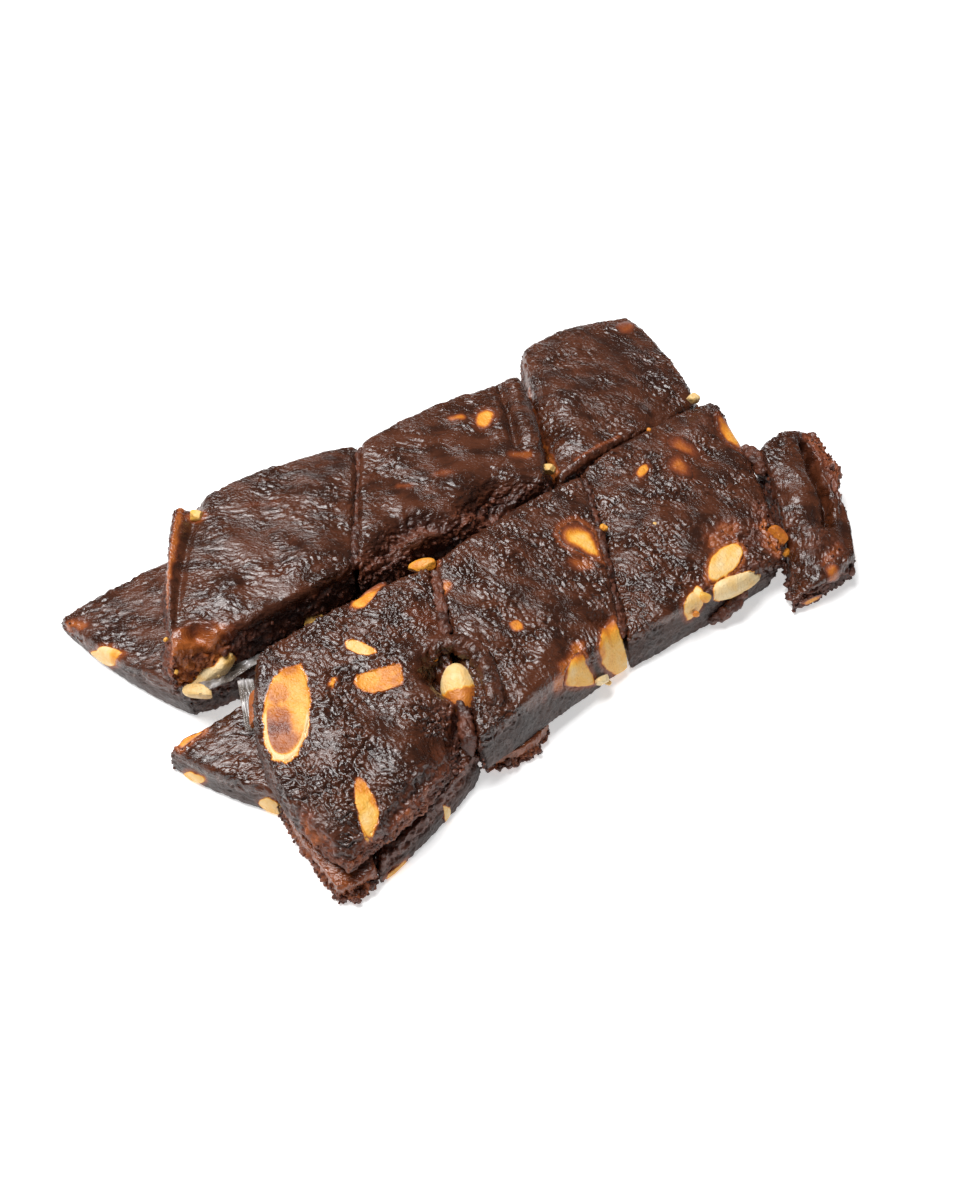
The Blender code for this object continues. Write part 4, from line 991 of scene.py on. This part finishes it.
def nut_surface(rows, around, size, boxy):
    """A superellipsoid: rows from the bottom pole to the top pole, closed at both. Gives unit
    directions too, so that colour can follow the place on the nut."""

    def powered(value):
        return np.sign(value) * np.abs(value) ** boxy

    lift = np.linspace(-np.pi / 2, np.pi / 2, rows + 1)[1:-1]
    turn = np.linspace(0.0, 2.0 * np.pi, around, endpoint=False)
    lift, turn = np.meshgrid(lift, turn, indexing="ij")
    half = np.array(size) / 2.0
    local = np.stack([powered(np.cos(lift)) * powered(np.cos(turn)),
                      powered(np.cos(lift)) * powered(np.sin(turn)),
                      powered(np.sin(lift))], axis=-1).reshape(-1, 3)
    local = np.concatenate([local, [[0.0, 0.0, -1.0], [0.0, 0.0, 1.0]]])
    index = np.arange((rows - 1) * around).reshape(rows - 1, around)
    after = np.roll(index, -1, axis=1)
    faces = np.stack([index[:-1], after[:-1], after[1:], index[1:]], axis=-1).reshape(-1, 4).tolist()
    bottom, top = len(local) - 2, len(local) - 1
    faces += np.stack([after[0], index[0], np.full(around, bottom)], axis=-1).tolist()
    faces += np.stack([index[-1], after[-1], np.full(around, top)], axis=-1).tolist()
    return local * half, local, faces


def chunk_points(nut, steps=CHUNK_STEPS):
    """A broken nut: a superellipsoid cut flat by a few planes, with faint unevenness. Gives its
    points, its faces and how ripe it shows at each point."""
    points, _, faces = nut_surface(*steps, nut.size, nut.boxy)
    seed = seed_of(nut.name)
    draw = np.random.default_rng(seed)
    for _ in range(nut.cuts):
        normal = draw.normal(size=3)
        normal /= np.linalg.norm(normal)
        reach = np.linalg.norm(normal * np.array(nut.size) / 2.0) * draw.uniform(0.72, 0.92)
        over = np.maximum(points @ normal - reach, 0.0)
        points = points - over[:, None] * normal
    outward = points / np.maximum(np.linalg.norm(points, axis=1, keepdims=True), 1e-6)
    points = points + outward * layered(points, CHUNK_UNEVEN, seed)[:, None]
    x, y, z, start, change = nut.skin
    turned = points @ facing(nut).T
    ripe = nut.ripe + layered(points, CHUNK_MOTTLE, seed + 60)
    filmed = turned @ np.array((x, y, z)) - start + 0.3 * noise(points, 1.2, seed)
    ripe += change * fade(filmed / 0.5)
    return turned + np.array(nut.at), faces, np.clip(ripe, 0.0, 1.0)


def skin(piece, side, places):
    """The plain skin at these unfolded places."""
    if side == TOP:
        across, down = shares_at(piece, places)
        ground = top_surface(piece, across, down)
        ground[:, :2] = places
        depth = np.zeros(len(places))
    else:
        share = np.clip(places[:, 0] / side_length(piece, side), 0.0, 1.0)
        inward = np.maximum(-places[:, 1], 0.0) / FACE[1 - side % 2]
        across, down = border_shares(side, share, inward)
        thickness = top_surface(piece, across, down)[..., 2] - floor_at(piece, across, down)
        ground, depth = side_surface(piece, across, down,
                                     np.clip(places[:, 1] / thickness, 0.0, 1.0))
    return sculpted(ground, piece, depth)[0]


def window_points(nut, piece):
    """A flush nut: its outline laid on the skin, domed by its rise in the middle and dipping
    under the paste at its border, with a belly behind."""
    _, unit, faces = nut_surface(*NUT_STEPS, (2.0, 2.0, 2.0), 1.0)
    out = np.linalg.norm(unit[:, :2], axis=1)
    toward = unit[:, :2] / np.maximum(out, 1e-6)[:, None]
    offsets = toward * (out / reach_of(nut.outline, toward))[:, None]
    places = offsets + np.array(nut.at)
    ground = skin(piece, nut.side, places)
    small = 0.05
    along = skin(piece, nut.side, places + np.array((small, 0.0))) - ground
    beside = skin(piece, nut.side, places + np.array((0.0, small))) - ground
    away = np.cross(along, beside)
    away /= np.maximum(np.linalg.norm(away, axis=1, keepdims=True), 1e-9)
    outward = ground - np.array([*np.mean(piece.corners, axis=0), 0.0])
    away *= np.sign((away * outward).sum(axis=1).mean())
    seed = seed_of(nut.name)
    upper = unit[:, 2] >= 0.0
    dome = nut.rise * (1.0 - out**nut.level) - 0.06 - 0.4 * fade((out - 0.9) / 0.1)
    dome += layered(ground, WINDOW_UNEVEN, seed + 2)
    height = np.where(upper, dome, -0.46 + unit[:, 2] * 1.2)
    return ground + away * height[:, None], faces, window(nut, offsets)


def strand_points(strand):
    """A roll that follows its path, closed at both ends, with lumps of two sizes: rings of a
    radius that shrinks as a root towards both ends, pushed out by the lumps."""
    table = np.array(strand.path)
    runs = np.linalg.norm(np.diff(table[:, :3], axis=0), axis=1)
    length = np.concatenate([[0.0], np.cumsum(runs)])
    steps = int(length[-1] / STRAND_STEP)
    way = np.linspace(0.0, length[-1], steps + 1)
    line = np.stack([np.interp(way, length, table[:, axis]) for axis in range(4)], axis=-1)
    turn = np.linspace(0.0, 2.0 * np.pi, STRAND_SIDES, endpoint=False)
    forward = np.gradient(line[:, :3], axis=0)
    beside = np.cross(forward, (0.0, 0.0, 1.0))
    beside /= np.linalg.norm(beside, axis=1, keepdims=True)
    ends = np.sqrt(np.clip(np.minimum(way, way[::-1]) / line[:, 3], 0.02, 1.0))
    radius = (line[:, 3] * ends)[:, None, None]
    ring = (np.cos(turn)[None, :, None] * beside[:, None]
            + np.sin(turn)[None, :, None] * np.array((0.0, 0.0, 1.0)))
    seed = seed_of(strand.name)
    points = (line[:, None, :3] + radius * ring).reshape(-1, 3)
    lump = layered(points, STRAND_LUMPS, seed, billows)
    most = np.minimum(radius, 0.8).repeat(STRAND_SIDES, axis=1).reshape(-1, 1)
    points += ring.reshape(-1, 3) * lump[:, None] * most
    index = np.arange(len(points)).reshape(steps + 1, STRAND_SIDES)
    after = np.roll(index, -1, axis=1)
    faces = np.stack([index[:-1], index[1:], after[1:], after[:-1]], axis=-1).reshape(-1, 4).tolist()
    faces += [index[0].tolist(), index[-1][::-1].tolist()]
    return points, faces


def add_mesh(name, points, faces, material, masks):
    """A mesh object at the origin from points in the tables' millimetres, with its masks. What
    would lie below the floor is lifted to it."""
    mesh = bpy.data.meshes.new(name)
    moved = (points - np.array([*MIDDLE, 0.0])) * MM
    moved[:, 2] = np.maximum(moved[:, 2], 0.0)
    mesh.from_pydata(moved.tolist(), [], faces)
    for key, values in masks.items():
        kind, slot = ("FLOAT", "value") if values.ndim == 1 else ("FLOAT_VECTOR", "vector")
        layer = mesh.attributes.new(key, kind, "POINT")
        layer.data.foreach_set(slot, values.astype(np.float32).reshape(-1))
    mesh.materials.append(material)
    mesh.shade_smooth()
    mesh.update()
    obj = bpy.data.objects.new(name, mesh)
    bpy.context.scene.collection.objects.link(obj)
    return obj


def normals_of(points, faces):
    """The outward direction at each point, from a passing mesh of the same faces."""
    mesh = bpy.data.meshes.new("passing")
    mesh.from_pydata(points.tolist(), [], faces)
    found = np.empty(len(points) * 3, np.float32)
    mesh.vertex_normals.foreach_get("vector", found)
    bpy.data.meshes.remove(mesh)
    return found.reshape(-1, 3).astype(float)


def declare(obj, slot, *nodes):
    """Ties a piece to the body and hides the solids that it stands for. The slot, its finish, is not
    used.
    """
    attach(obj, BODY)
    if nodes:
        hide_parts(*nodes)


# Colours of a nut, from dark under the paste to cream where it lies bare
NUT_TONES = ((0.0, (0.048, 0.0144, 0.0064)), (0.25, (0.20, 0.044, 0.013)),
             (0.45, (0.43, 0.115, 0.018)), (0.62, (0.76, 0.27, 0.018)),
             (0.78, (0.86, 0.46, 0.075)), (1.0, (0.86, 0.66, 0.36)))


class Nodes:
    """Adds shader nodes to a tree one after another and links them by socket name."""

    def __init__(self, tree):
        self.tree = tree

    def feed(self, node, values):
        """Links each socket to the input of its name, and sets each plain value on its own."""
        for key, value in values.items():
            if isinstance(value, bpy.types.NodeSocket):
                self.tree.links.new(value, node.inputs[key])
            else:
                node.inputs[key].default_value = value

    def add(self, kind, values=None, **settings):
        node = self.tree.nodes.new(kind)
        for key, value in settings.items():
            setattr(node, key, value)
        self.feed(node, values or {})
        return node

    def mask(self, name):
        return self.add("ShaderNodeAttribute", attribute_name=name).outputs["Fac"]

    def noise(self, vector, scale, detail=3.0, roughness=0.5):
        node = self.add("ShaderNodeTexNoise", {"Vector": vector, "Scale": scale, "Detail": detail,
                                               "Roughness": roughness})
        return node.outputs["Fac"]

    def math(self, operation, first, second, clamp=False):
        node = self.add("ShaderNodeMath", {0: first, 1: second}, operation=operation, use_clamp=clamp)
        return node.outputs[0]

    def plus(self, base, mask, share, clamp=False):
        """The base, and a share of the mask."""
        return self.math("ADD", base, self.math("MULTIPLY", mask, share), clamp)

    def spread(self, value, low, high, to_low=0.0, to_high=1.0):
        """Goes smoothly from to_low to to_high while the value goes from low to high."""
        node = self.add("ShaderNodeMapRange", {"Value": value, "From Min": low, "From Max": high,
                                               "To Min": to_low, "To Max": to_high},
                        interpolation_type="SMOOTHSTEP")
        return node.outputs["Result"]

    def mix(self, share, *tones):
        """Two colours by the share of the second."""
        first, second = (tone if isinstance(tone, bpy.types.NodeSocket) else (*tone[:3], 1.0)
                         for tone in tones)
        node = self.add("ShaderNodeMix", {0: share, 6: first, 7: second}, data_type="RGBA")
        return node.outputs[2]

    def ramp(self, value, stops):
        node = self.add("ShaderNodeValToRGB", {"Fac": value})
        line = node.color_ramp
        while len(line.elements) < len(stops):
            line.elements.new(0.5)
        for element, (place, colour) in zip(line.elements, stops):
            element.position = place
            element.color = (*colour, 1.0)
        return node.outputs["Color"]


def new_material(name):
    """An empty node material with its Principled shader and output."""
    made = bpy.data.materials.new(name)
    made.use_nodes = True
    made.node_tree.nodes.clear()
    nodes = Nodes(made.node_tree)
    shader = nodes.add("ShaderNodeBsdfPrincipled")
    nodes.add("ShaderNodeOutputMaterial", {"Surface": shader.outputs["BSDF"]})
    return made, nodes, shader


def grain_group():
    """Shared fine structure: a mottle mask, a sparkle mask and a bump height."""
    group = bpy.data.node_groups.get("Sticky grain")
    if group:
        return group
    group = bpy.data.node_groups.new("Sticky grain", "ShaderNodeTree")
    group.interface.new_socket("Place", in_out="INPUT", socket_type="NodeSocketVector")
    for name in ("Mottle", "Sparkle", "Height"):
        group.interface.new_socket(name, in_out="OUTPUT", socket_type="NodeSocketFloat")
    nodes = Nodes(group)
    spot = nodes.add("NodeGroupInput").outputs["Place"]
    mottle = nodes.spread(nodes.noise(spot, 0.22, 4.0, 0.6), 0.35, 0.65)
    sparkle = nodes.spread(nodes.noise(spot, 1.7, 1.0, 0.5), 0.46, 0.72)
    fine = nodes.spread(nodes.noise(spot, 2.9, 2.0, 0.6), 0.40, 0.74)
    height = nodes.plus(nodes.math("MULTIPLY", fine, 0.45), sparkle, 0.55)
    nodes.add("NodeGroupOutput", {"Mottle": mottle, "Sparkle": sparkle, "Height": height})
    return group


def paste_material(looks):
    """Date paste: brown mottle, shade painted into the creases between its wrinkles, amber where a nut
    glows through, red-brown where torn and grey-brown where cut, glossy on its skin and duller on its
    crumb."""
    made, nodes, shader = new_material("date paste skin")
    drawn = nodes.add("ShaderNodeAttribute", attribute_name="drawn").outputs["Vector"]
    grain = nodes.add("ShaderNodeGroup", {"Place": drawn}, node_tree=grain_group())
    mottle, sparkle = grain.outputs["Mottle"], grain.outputs["Sparkle"]
    glow, torn, cut, crest = (nodes.mask(name) for name in ("glow", "torn", "cut", "crest"))
    colour = nodes.mix(mottle, looks.paste_dark, looks.paste_light)
    # Painted shade: where the crest mask is low, the creases between the wrinkles are darkened towards a
    # near-black brown.
    colour = nodes.mix(nodes.spread(crest, 0.0, 0.9, 0.7, 0.0), colour, (0.012, 0.003, 0.0015))
    colour = nodes.mix(nodes.math("MULTIPLY", torn, 0.8), colour,
                       nodes.mix(mottle, looks.torn_dark, looks.torn_light))
    colour = nodes.mix(nodes.math("MULTIPLY", cut, 0.85), colour, looks.cut_colour)
    colour = nodes.mix(nodes.spread(glow, 0.04, 0.4), colour, nodes.ramp(glow, NUT_TONES))
    rough = looks.gloss
    for mask, share in ((torn, 0.30), (cut, 0.24), (mottle, 0.10), (sparkle, -0.06)):
        rough = nodes.plus(rough, mask, share)
    coat = nodes.plus(nodes.plus(0.25, torn, -0.15), cut, -0.25, clamp=True)
    bump = nodes.add("ShaderNodeBump", {"Strength": 1.0, "Distance": 0.00012,
                                        "Height": grain.outputs["Height"]})
    nodes.feed(shader, {"Base Color": colour, "Roughness": rough, "Coat Weight": coat,
                        "Normal": bump.outputs["Normal"], "Coat Roughness": 0.14,
                        "Specular IOR Level": 0.54})
    return made


def nut_material(looks):
    """Nut: from dark film over orange and amber to cream as it shows more, softly streaked."""
    made, nodes, shader = new_material("nut flesh")
    place = nodes.add("ShaderNodeTexCoord").outputs["Object"]
    place = nodes.add("ShaderNodeVectorMath", {0: place, "Scale": 700.0}, operation="SCALE")
    grain = nodes.add("ShaderNodeGroup", {"Place": place.outputs["Vector"]}, node_tree=grain_group())
    ripe = nodes.plus(nodes.mask("ripe"), nodes.math("SUBTRACT", grain.outputs["Mottle"], 0.5), 0.08)
    bump = nodes.add("ShaderNodeBump", {"Strength": 0.6, "Distance": 0.0002,
                                        "Height": grain.outputs["Height"]})
    nodes.feed(shader, {"Base Color": nodes.ramp(ripe, NUT_TONES), "Normal": bump.outputs["Normal"],
                        "Roughness": nodes.plus(0.32, ripe, 0.2)})
    return made


def floor_material():
    """The plain pale floor, faintly uneven in tone."""
    made, nodes, shader = new_material("pale floor")
    place = nodes.add("ShaderNodeTexCoord").outputs["Object"]
    tone = nodes.mix(nodes.noise(place, 3.0), (0.93, 0.93, 0.93), (0.96, 0.96, 0.96))
    nodes.feed(shader, {"Base Color": tone, "Roughness": 0.9, "Specular IOR Level": 0.1,
                        "Emission Color": (1.0, 1.0, 1.0, 1.0), "Emission Strength": 0.52})
    return made


def shared(name, maker, *given):
    """The material of this name, made once."""
    return bpy.data.materials.get(name) or maker(*given)


def build_diamond(piece, looks):
    """One diamond: its plain skin, sculpted, then dressed along its normals."""
    points, faces, across, down, depth = diamond_surface(piece)
    points, masks = sculpted(points, piece, depth)
    normals = normals_of(points, faces)
    points, masks = dressed(piece, looks, points, normals, masks, across, down, depth)
    del masks["calm"]
    paste = shared("date paste skin", paste_material, looks)
    obj = add_mesh("paste_" + piece.name, points, faces, paste, masks)
    declare(obj, piece.slot, piece.name)


def build_nut(nut, looks):
    """One piece of nut, flush in its diamond or standing out."""
    if isinstance(nut, Chunk):
        points, faces, ripe = chunk_points(nut)
    else:
        host = next(piece for piece in DIAMONDS if piece.name == nut.host)
        points, faces, ripe = window_points(nut, host)
    obj = add_mesh("piece_of_" + nut.name, points, faces, shared("nut flesh", nut_material, looks),
                   {"ripe": ripe})
    declare(obj, nut.slot, *([nut.name] if nut.solid else []))


def paste_masks(points, torn, glow):
    """The masks that the paste's material reads, for loose bits of it."""
    count = len(points)
    return {"torn": np.full(count, torn), "glow": np.zeros(count) + glow, "cut": np.zeros(count),
            # Loose bits get no painted crease shade: their crest mask is 1 everywhere.
            "crest": np.ones(count), "drawn": points}


def build_strand(strand, looks):
    """One lumpy roll of paste."""
    points, faces = strand_points(strand)
    obj = add_mesh(strand.name, points, faces, shared("date paste skin", paste_material, looks),
                   paste_masks(points, strand.torn, strand.glow))
    declare(obj, "torn_date_paste")


def joined(parts):
    """Points, faces and values of many small meshes as one."""
    points, faces, values, count = [], [], [], 0
    for part_points, part_faces, part_values in parts:
        points.append(part_points)
        faces += [[corner + count for corner in face] for face in part_faces]
        values.append(part_values)
        count += len(part_points)
    return np.concatenate(points), faces, np.concatenate(values)


def build_bits(looks):
    """The pale crumbs as one mesh."""
    parts = []
    for order, (place, size, ripe) in enumerate(BITS):
        nut = Chunk(f"bit {order}", "", place, (size * 1.2, size, size * 0.8),
                    (40.0 * order, 20.0, 10.0 * order), 0.7, ripe)
        parts.append(chunk_points(nut, BIT_STEPS))
    points, faces, ripe = joined(parts)
    obj = add_mesh("pale_crumbs", points, faces, shared("nut flesh", nut_material, looks),
                   {"ripe": ripe})
    declare(obj, "bare_nut")


def build_crumbs(looks):
    """Brown crumbs on the torn sides, as one mesh: small lumps on points drawn by how torn the
    paste is there."""
    draw = np.random.default_rng(CRUMB_SEED)
    parts = []
    for piece in DIAMONDS:
        mesh = bpy.data.objects["paste_" + piece.name].data
        count = len(mesh.vertices)
        places, normals, torn = np.empty(count * 3), np.empty(count * 3), np.empty(count)
        mesh.vertices.foreach_get("co", places)
        mesh.vertex_normals.foreach_get("vector", normals)
        mesh.attributes["torn"].data.foreach_get("value", torn)
        places = places.reshape(-1, 3) / MM + np.array([*MIDDLE, 0.0])
        normals = normals.reshape(-1, 3)
        chance = np.clip(torn - 0.3, 0.0, 1.0) * (places[:, 2] > 0.3) * (normals[:, 2] > -0.3)
        amount = 3 * CRUMBS_EACH if piece.slot == "torn_date_paste" else CRUMBS_EACH
        chosen = draw.choice(count, amount, p=chance / chance.sum())
        for spot in chosen:
            size = draw.lognormal(*CRUMB_SIZE)
            nut = Chunk(f"crumb {len(parts)}", "", places[spot] + normals[spot] * size * 0.15,
                        (size * 1.3, size, size * 0.9), draw.uniform(0.0, 180.0, 3), 0.9)
            parts.append(chunk_points(nut, CRUMB_STEPS))
    points, faces, _ = joined(parts)
    glow = 0.25 * fade(noise(points, 4.0, CRUMB_SEED))
    obj = add_mesh("torn_crumbs", points, faces, shared("date paste skin", paste_material, looks),
                   paste_masks(points, 0.9, glow))
    declare(obj, "torn_date_paste")


def film_points():
    """The clear film: a waved strip from its left to its right end and a tab that hangs from it,
    each a closed sheet of even thickness. Over its plane it stands 0.9 times (0.35 less the size
    of a noise) for the creases, and 0.5 times a sine along it for the waves."""
    rows, steps = FILM_STEPS
    sheets = []
    for ends, waves in ((FILM_STRIP, 9.0), (FILM_TAB, 5.0)):
        corners = np.array(ends, float)
        v, u = np.meshgrid(np.linspace(0.0, 1.0, rows + 1), np.linspace(0.0, 1.0, steps + 1),
                           indexing="ij")
        sheet = blend_corners(corners, u[..., None], v[..., None])
        crease = np.abs(noise(np.stack([u * waves, v * 2.0, 0.0 * u], axis=-1), 1.0, 5))
        sheet[..., 2] += 0.9 * (0.35 - crease) + 0.5 * np.sin(waves * u + 2.0 * v)
        top = sheet.reshape(-1, 3)
        below = top - np.array((0.0, 0.0, FILM_THICKNESS))
        index = np.arange(len(top)).reshape(rows + 1, steps + 1)
        ring = grid_border(index)
        before = np.roll(ring, 1)
        rim = np.stack([before, ring, ring + len(top), before + len(top)], axis=-1)
        upper = grid_quads(index)
        faces = [upper, upper[:, ::-1] + len(top), rim]
        sheets.append((np.concatenate([top, below]), np.concatenate(faces).tolist(),
                       np.zeros(2 * len(top))))
    return joined(sheets)


def film_material():
    """Clear film: see-through, with a sharp gloss and milky streaks that are partly the film's own
    milkiness and partly painted highlights.
    """
    made, nodes, shader = new_material("creased film")
    place = nodes.add("ShaderNodeTexCoord").outputs["Object"]
    milkiness_and_highlight = nodes.noise(place, 260.0, 3.0, 0.6)
    # Partly painted highlights: the streaks lighten the film's colour towards milky white, as well as
    # making it glossier and less clear.
    tone = nodes.mix(nodes.spread(milkiness_and_highlight, 0.4, 0.75), (0.22, 0.18, 0.15), (0.70, 0.68, 0.68))
    nodes.feed(shader, {"Base Color": tone, "Alpha": nodes.spread(milkiness_and_highlight, 0.36, 0.64, 0.45, 0.92),
                        "Roughness": nodes.spread(milkiness_and_highlight, 0.3, 0.7, 0.34, 0.2), "Coat Weight": 0.6,
                        "Coat Roughness": 0.06})
    return made


def build_film():
    """The film's strip and tab as one mesh."""
    points, faces, _ = film_points()
    obj = add_mesh("creased_film", points, faces, shared("creased film", film_material), {})
    declare(obj, "clear_film", "clear_film")


def colour_property(name, description, default):
    """A colour that a user can change."""
    return FloatVectorProperty(name=name, description=description, default=default, size=3,
                               subtype="COLOR", min=0.0, max=1.0)


class ChikkiLooks(bpy.types.PropertyGroup):
    """Sizes and colours of the paste and the nuts"""

    wrinkle_height: FloatProperty(name="Wrinkle Height", default=0.80, min=0.0, max=1.0,
                                  description="Height of the skin's wrinkles in mm")
    lump_height: FloatProperty(name="Lump Height", description="Height of torn lumps in mm",
                               default=2.2, min=0.0, max=3.0)
    gloss: FloatProperty(name="Skin Roughness", description="Roughness of the paste's skin",
                         default=0.20, min=0.05, max=1.0, subtype="FACTOR")
    paste_dark: colour_property("Dark Paste", "Paste in its darker patches", (0.033, 0.0090, 0.0035))
    paste_light: colour_property("Light Paste", "Paste in its lighter patches", (0.094, 0.0250, 0.0088))
    torn_dark: colour_property("Dark Crumb", "Torn paste in its darker patches", (0.056, 0.0125, 0.0056))
    torn_light: colour_property("Light Crumb", "Torn paste in its lighter patches", (0.170, 0.042, 0.016))
    cut_colour: colour_property("Cut Paste", "Paste where the knife smeared it", (0.019, 0.0086, 0.0064))


class ChikkiStage(bpy.types.PropertyGroup):
    """Camera and light"""

    distance: FloatProperty(name="Camera Distance", description="From the camera to what it aims at",
                            default=0.320, min=0.1, max=2.0, unit="LENGTH")
    elevation: FloatProperty(name="Camera Elevation", description="Angle above the floor",
                             default=math.radians(48.0), min=0.0, max=math.radians(90.0),
                             subtype="ANGLE")
    heading: FloatProperty(name="Camera Heading", description="Turn of the view from +Y towards +X",
                           default=math.radians(33.0), min=-math.pi, max=math.pi, subtype="ANGLE")
    key_power: FloatProperty(name="Key Power", description="Power of the large soft light overhead",
                             default=8.0, min=0.0, max=500.0, unit="POWER")
    surround: FloatProperty(name="Surround", description="Brightness of the white surround",
                            default=0.10, min=0.0, max=2.0)


class CHIKKI_OT_slab(bpy.types.Operator):
    """Adds the six diamonds of the slab on top"""
    bl_idname = "chikki.slab"
    bl_label = "Slab on Top"

    def execute(self, context):
        for piece in DIAMONDS:
            if piece.name.startswith("top_"):
                build_diamond(piece, context.scene.chikki_looks)
        return {"FINISHED"}


class CHIKKI_OT_layer(bpy.types.Operator):
    """Adds the pieces of the layer below"""
    bl_idname = "chikki.layer"
    bl_label = "Layer Below"

    def execute(self, context):
        for piece in DIAMONDS:
            if piece.name.startswith("low_"):
                build_diamond(piece, context.scene.chikki_looks)
        return {"FINISHED"}


class CHIKKI_OT_nuts(bpy.types.Operator):
    """Adds the pieces of nut"""
    bl_idname = "chikki.nuts"
    bl_label = "Nuts"

    def execute(self, context):
        for nut in WINDOWS + CHUNKS:
            build_nut(nut, context.scene.chikki_looks)
        return {"FINISHED"}


class CHIKKI_OT_crumbs(bpy.types.Operator):
    """Adds the paste in the cuts and the crumbs, once the diamonds are there"""
    bl_idname = "chikki.crumbs"
    bl_label = "Crumbs"

    def execute(self, context):
        looks = context.scene.chikki_looks
        for strand in STRANDS:
            build_strand(strand, looks)
        build_crumbs(looks)
        build_bits(looks)
        return {"FINISHED"}


class CHIKKI_OT_film(bpy.types.Operator):
    """Adds the clear film between the layers"""
    bl_idname = "chikki.film"
    bl_label = "Clear Film"

    def execute(self, context):
        build_film()
        return {"FINISHED"}


class CHIKKI_OT_stage(bpy.types.Operator):
    """Adds the floor, the soft light and the camera"""
    bl_idname = "chikki.stage"
    bl_label = "Stage"

    def execute(self, context):
        stage = context.scene.chikki_stage
        add_floor()
        add_light(stage)
        add_camera(stage)
        return {"FINISHED"}


def add_floor():
    """A plain square of floor under the object."""
    half = FLOOR_HALF
    mesh = bpy.data.meshes.new("floor")
    corners = [(-half, -half, 0.0), (half, -half, 0.0), (half, half, 0.0), (-half, half, 0.0)]
    mesh.from_pydata(corners, [], [(0, 1, 2, 3)])
    mesh.materials.append(floor_material())
    floor = bpy.data.objects.new("floor", mesh)
    bpy.context.scene.collection.objects.link(floor)


def add_light(stage):
    """A large soft light overhead, a little behind and to the left, in a white surround."""
    lamp = bpy.data.lights.new("overhead", "AREA")
    lamp.shape = "DISK"
    lamp.size = LAMP_SIZE
    lamp.energy = stage.key_power
    light = bpy.data.objects.new("overhead", lamp)
    place = Vector(LAMP_PLACE)
    light.location = place
    light.rotation_euler = (-place).to_track_quat("-Z", "Y").to_euler()
    bpy.context.scene.collection.objects.link(light)
    world = bpy.data.worlds.new("white surround")
    world.use_nodes = True
    backdrop = world.node_tree.nodes["Background"]
    backdrop.inputs["Color"].default_value = (1.0, 1.0, 1.0, 1.0)
    backdrop.inputs["Strength"].default_value = stage.surround
    bpy.context.scene.world = world
    bpy.context.scene.view_settings.view_transform = "Standard"


def add_camera(stage):
    """The camera, aimed at the middle of the photograph's frame."""
    aim = Vector(CAMERA_AIM) * MM
    level = math.cos(stage.elevation)
    forward = Vector((math.sin(stage.heading) * level, math.cos(stage.heading) * level,
                      -math.sin(stage.elevation)))
    lens = bpy.data.cameras.new("camera")
    lens.lens = LENS
    lens.sensor_width = SENSOR
    lens.clip_start = 0.01
    camera = bpy.data.objects.new("camera", lens)
    camera.location = aim - forward * stage.distance
    camera.rotation_euler = forward.to_track_quat("-Z", "Y").to_euler()
    bpy.context.scene.collection.objects.link(camera)
    bpy.context.scene.camera = camera


OPERATORS = (CHIKKI_OT_slab, CHIKKI_OT_layer, CHIKKI_OT_nuts, CHIKKI_OT_crumbs, CHIKKI_OT_film,
             CHIKKI_OT_stage)


class CHIKKI_PT_panel(bpy.types.Panel):
    """Lists the pieces and their settings"""
    bl_idname = "CHIKKI_PT_panel"
    bl_label = "Chikki"
    bl_space_type = "VIEW_3D"
    bl_region_type = "UI"
    bl_category = "Chikki"

    def draw(self, context):
        for operator in OPERATORS:
            self.layout.operator(operator.bl_idname)
        for group in (context.scene.chikki_looks, context.scene.chikki_stage):
            for name in group.__annotations__:
                self.layout.prop(group, name)


CLASSES = (ChikkiLooks, ChikkiStage, *OPERATORS, CHIKKI_PT_panel)


def register():
    for cls in CLASSES:
        bpy.utils.register_class(cls)
    bpy.types.Scene.chikki_looks = PointerProperty(type=ChikkiLooks)
    bpy.types.Scene.chikki_stage = PointerProperty(type=ChikkiStage)


def unregister():
    del bpy.types.Scene.chikki_stage
    del bpy.types.Scene.chikki_looks
    for cls in reversed(CLASSES):
        bpy.utils.unregister_class(cls)


def main():
    register()
    bpy.ops.chikki.slab()
    bpy.ops.chikki.layer()
    bpy.ops.chikki.nuts()
    bpy.ops.chikki.crumbs()
    bpy.ops.chikki.film()
    bpy.ops.chikki.stage()


if __name__ == "__main__":
    main()
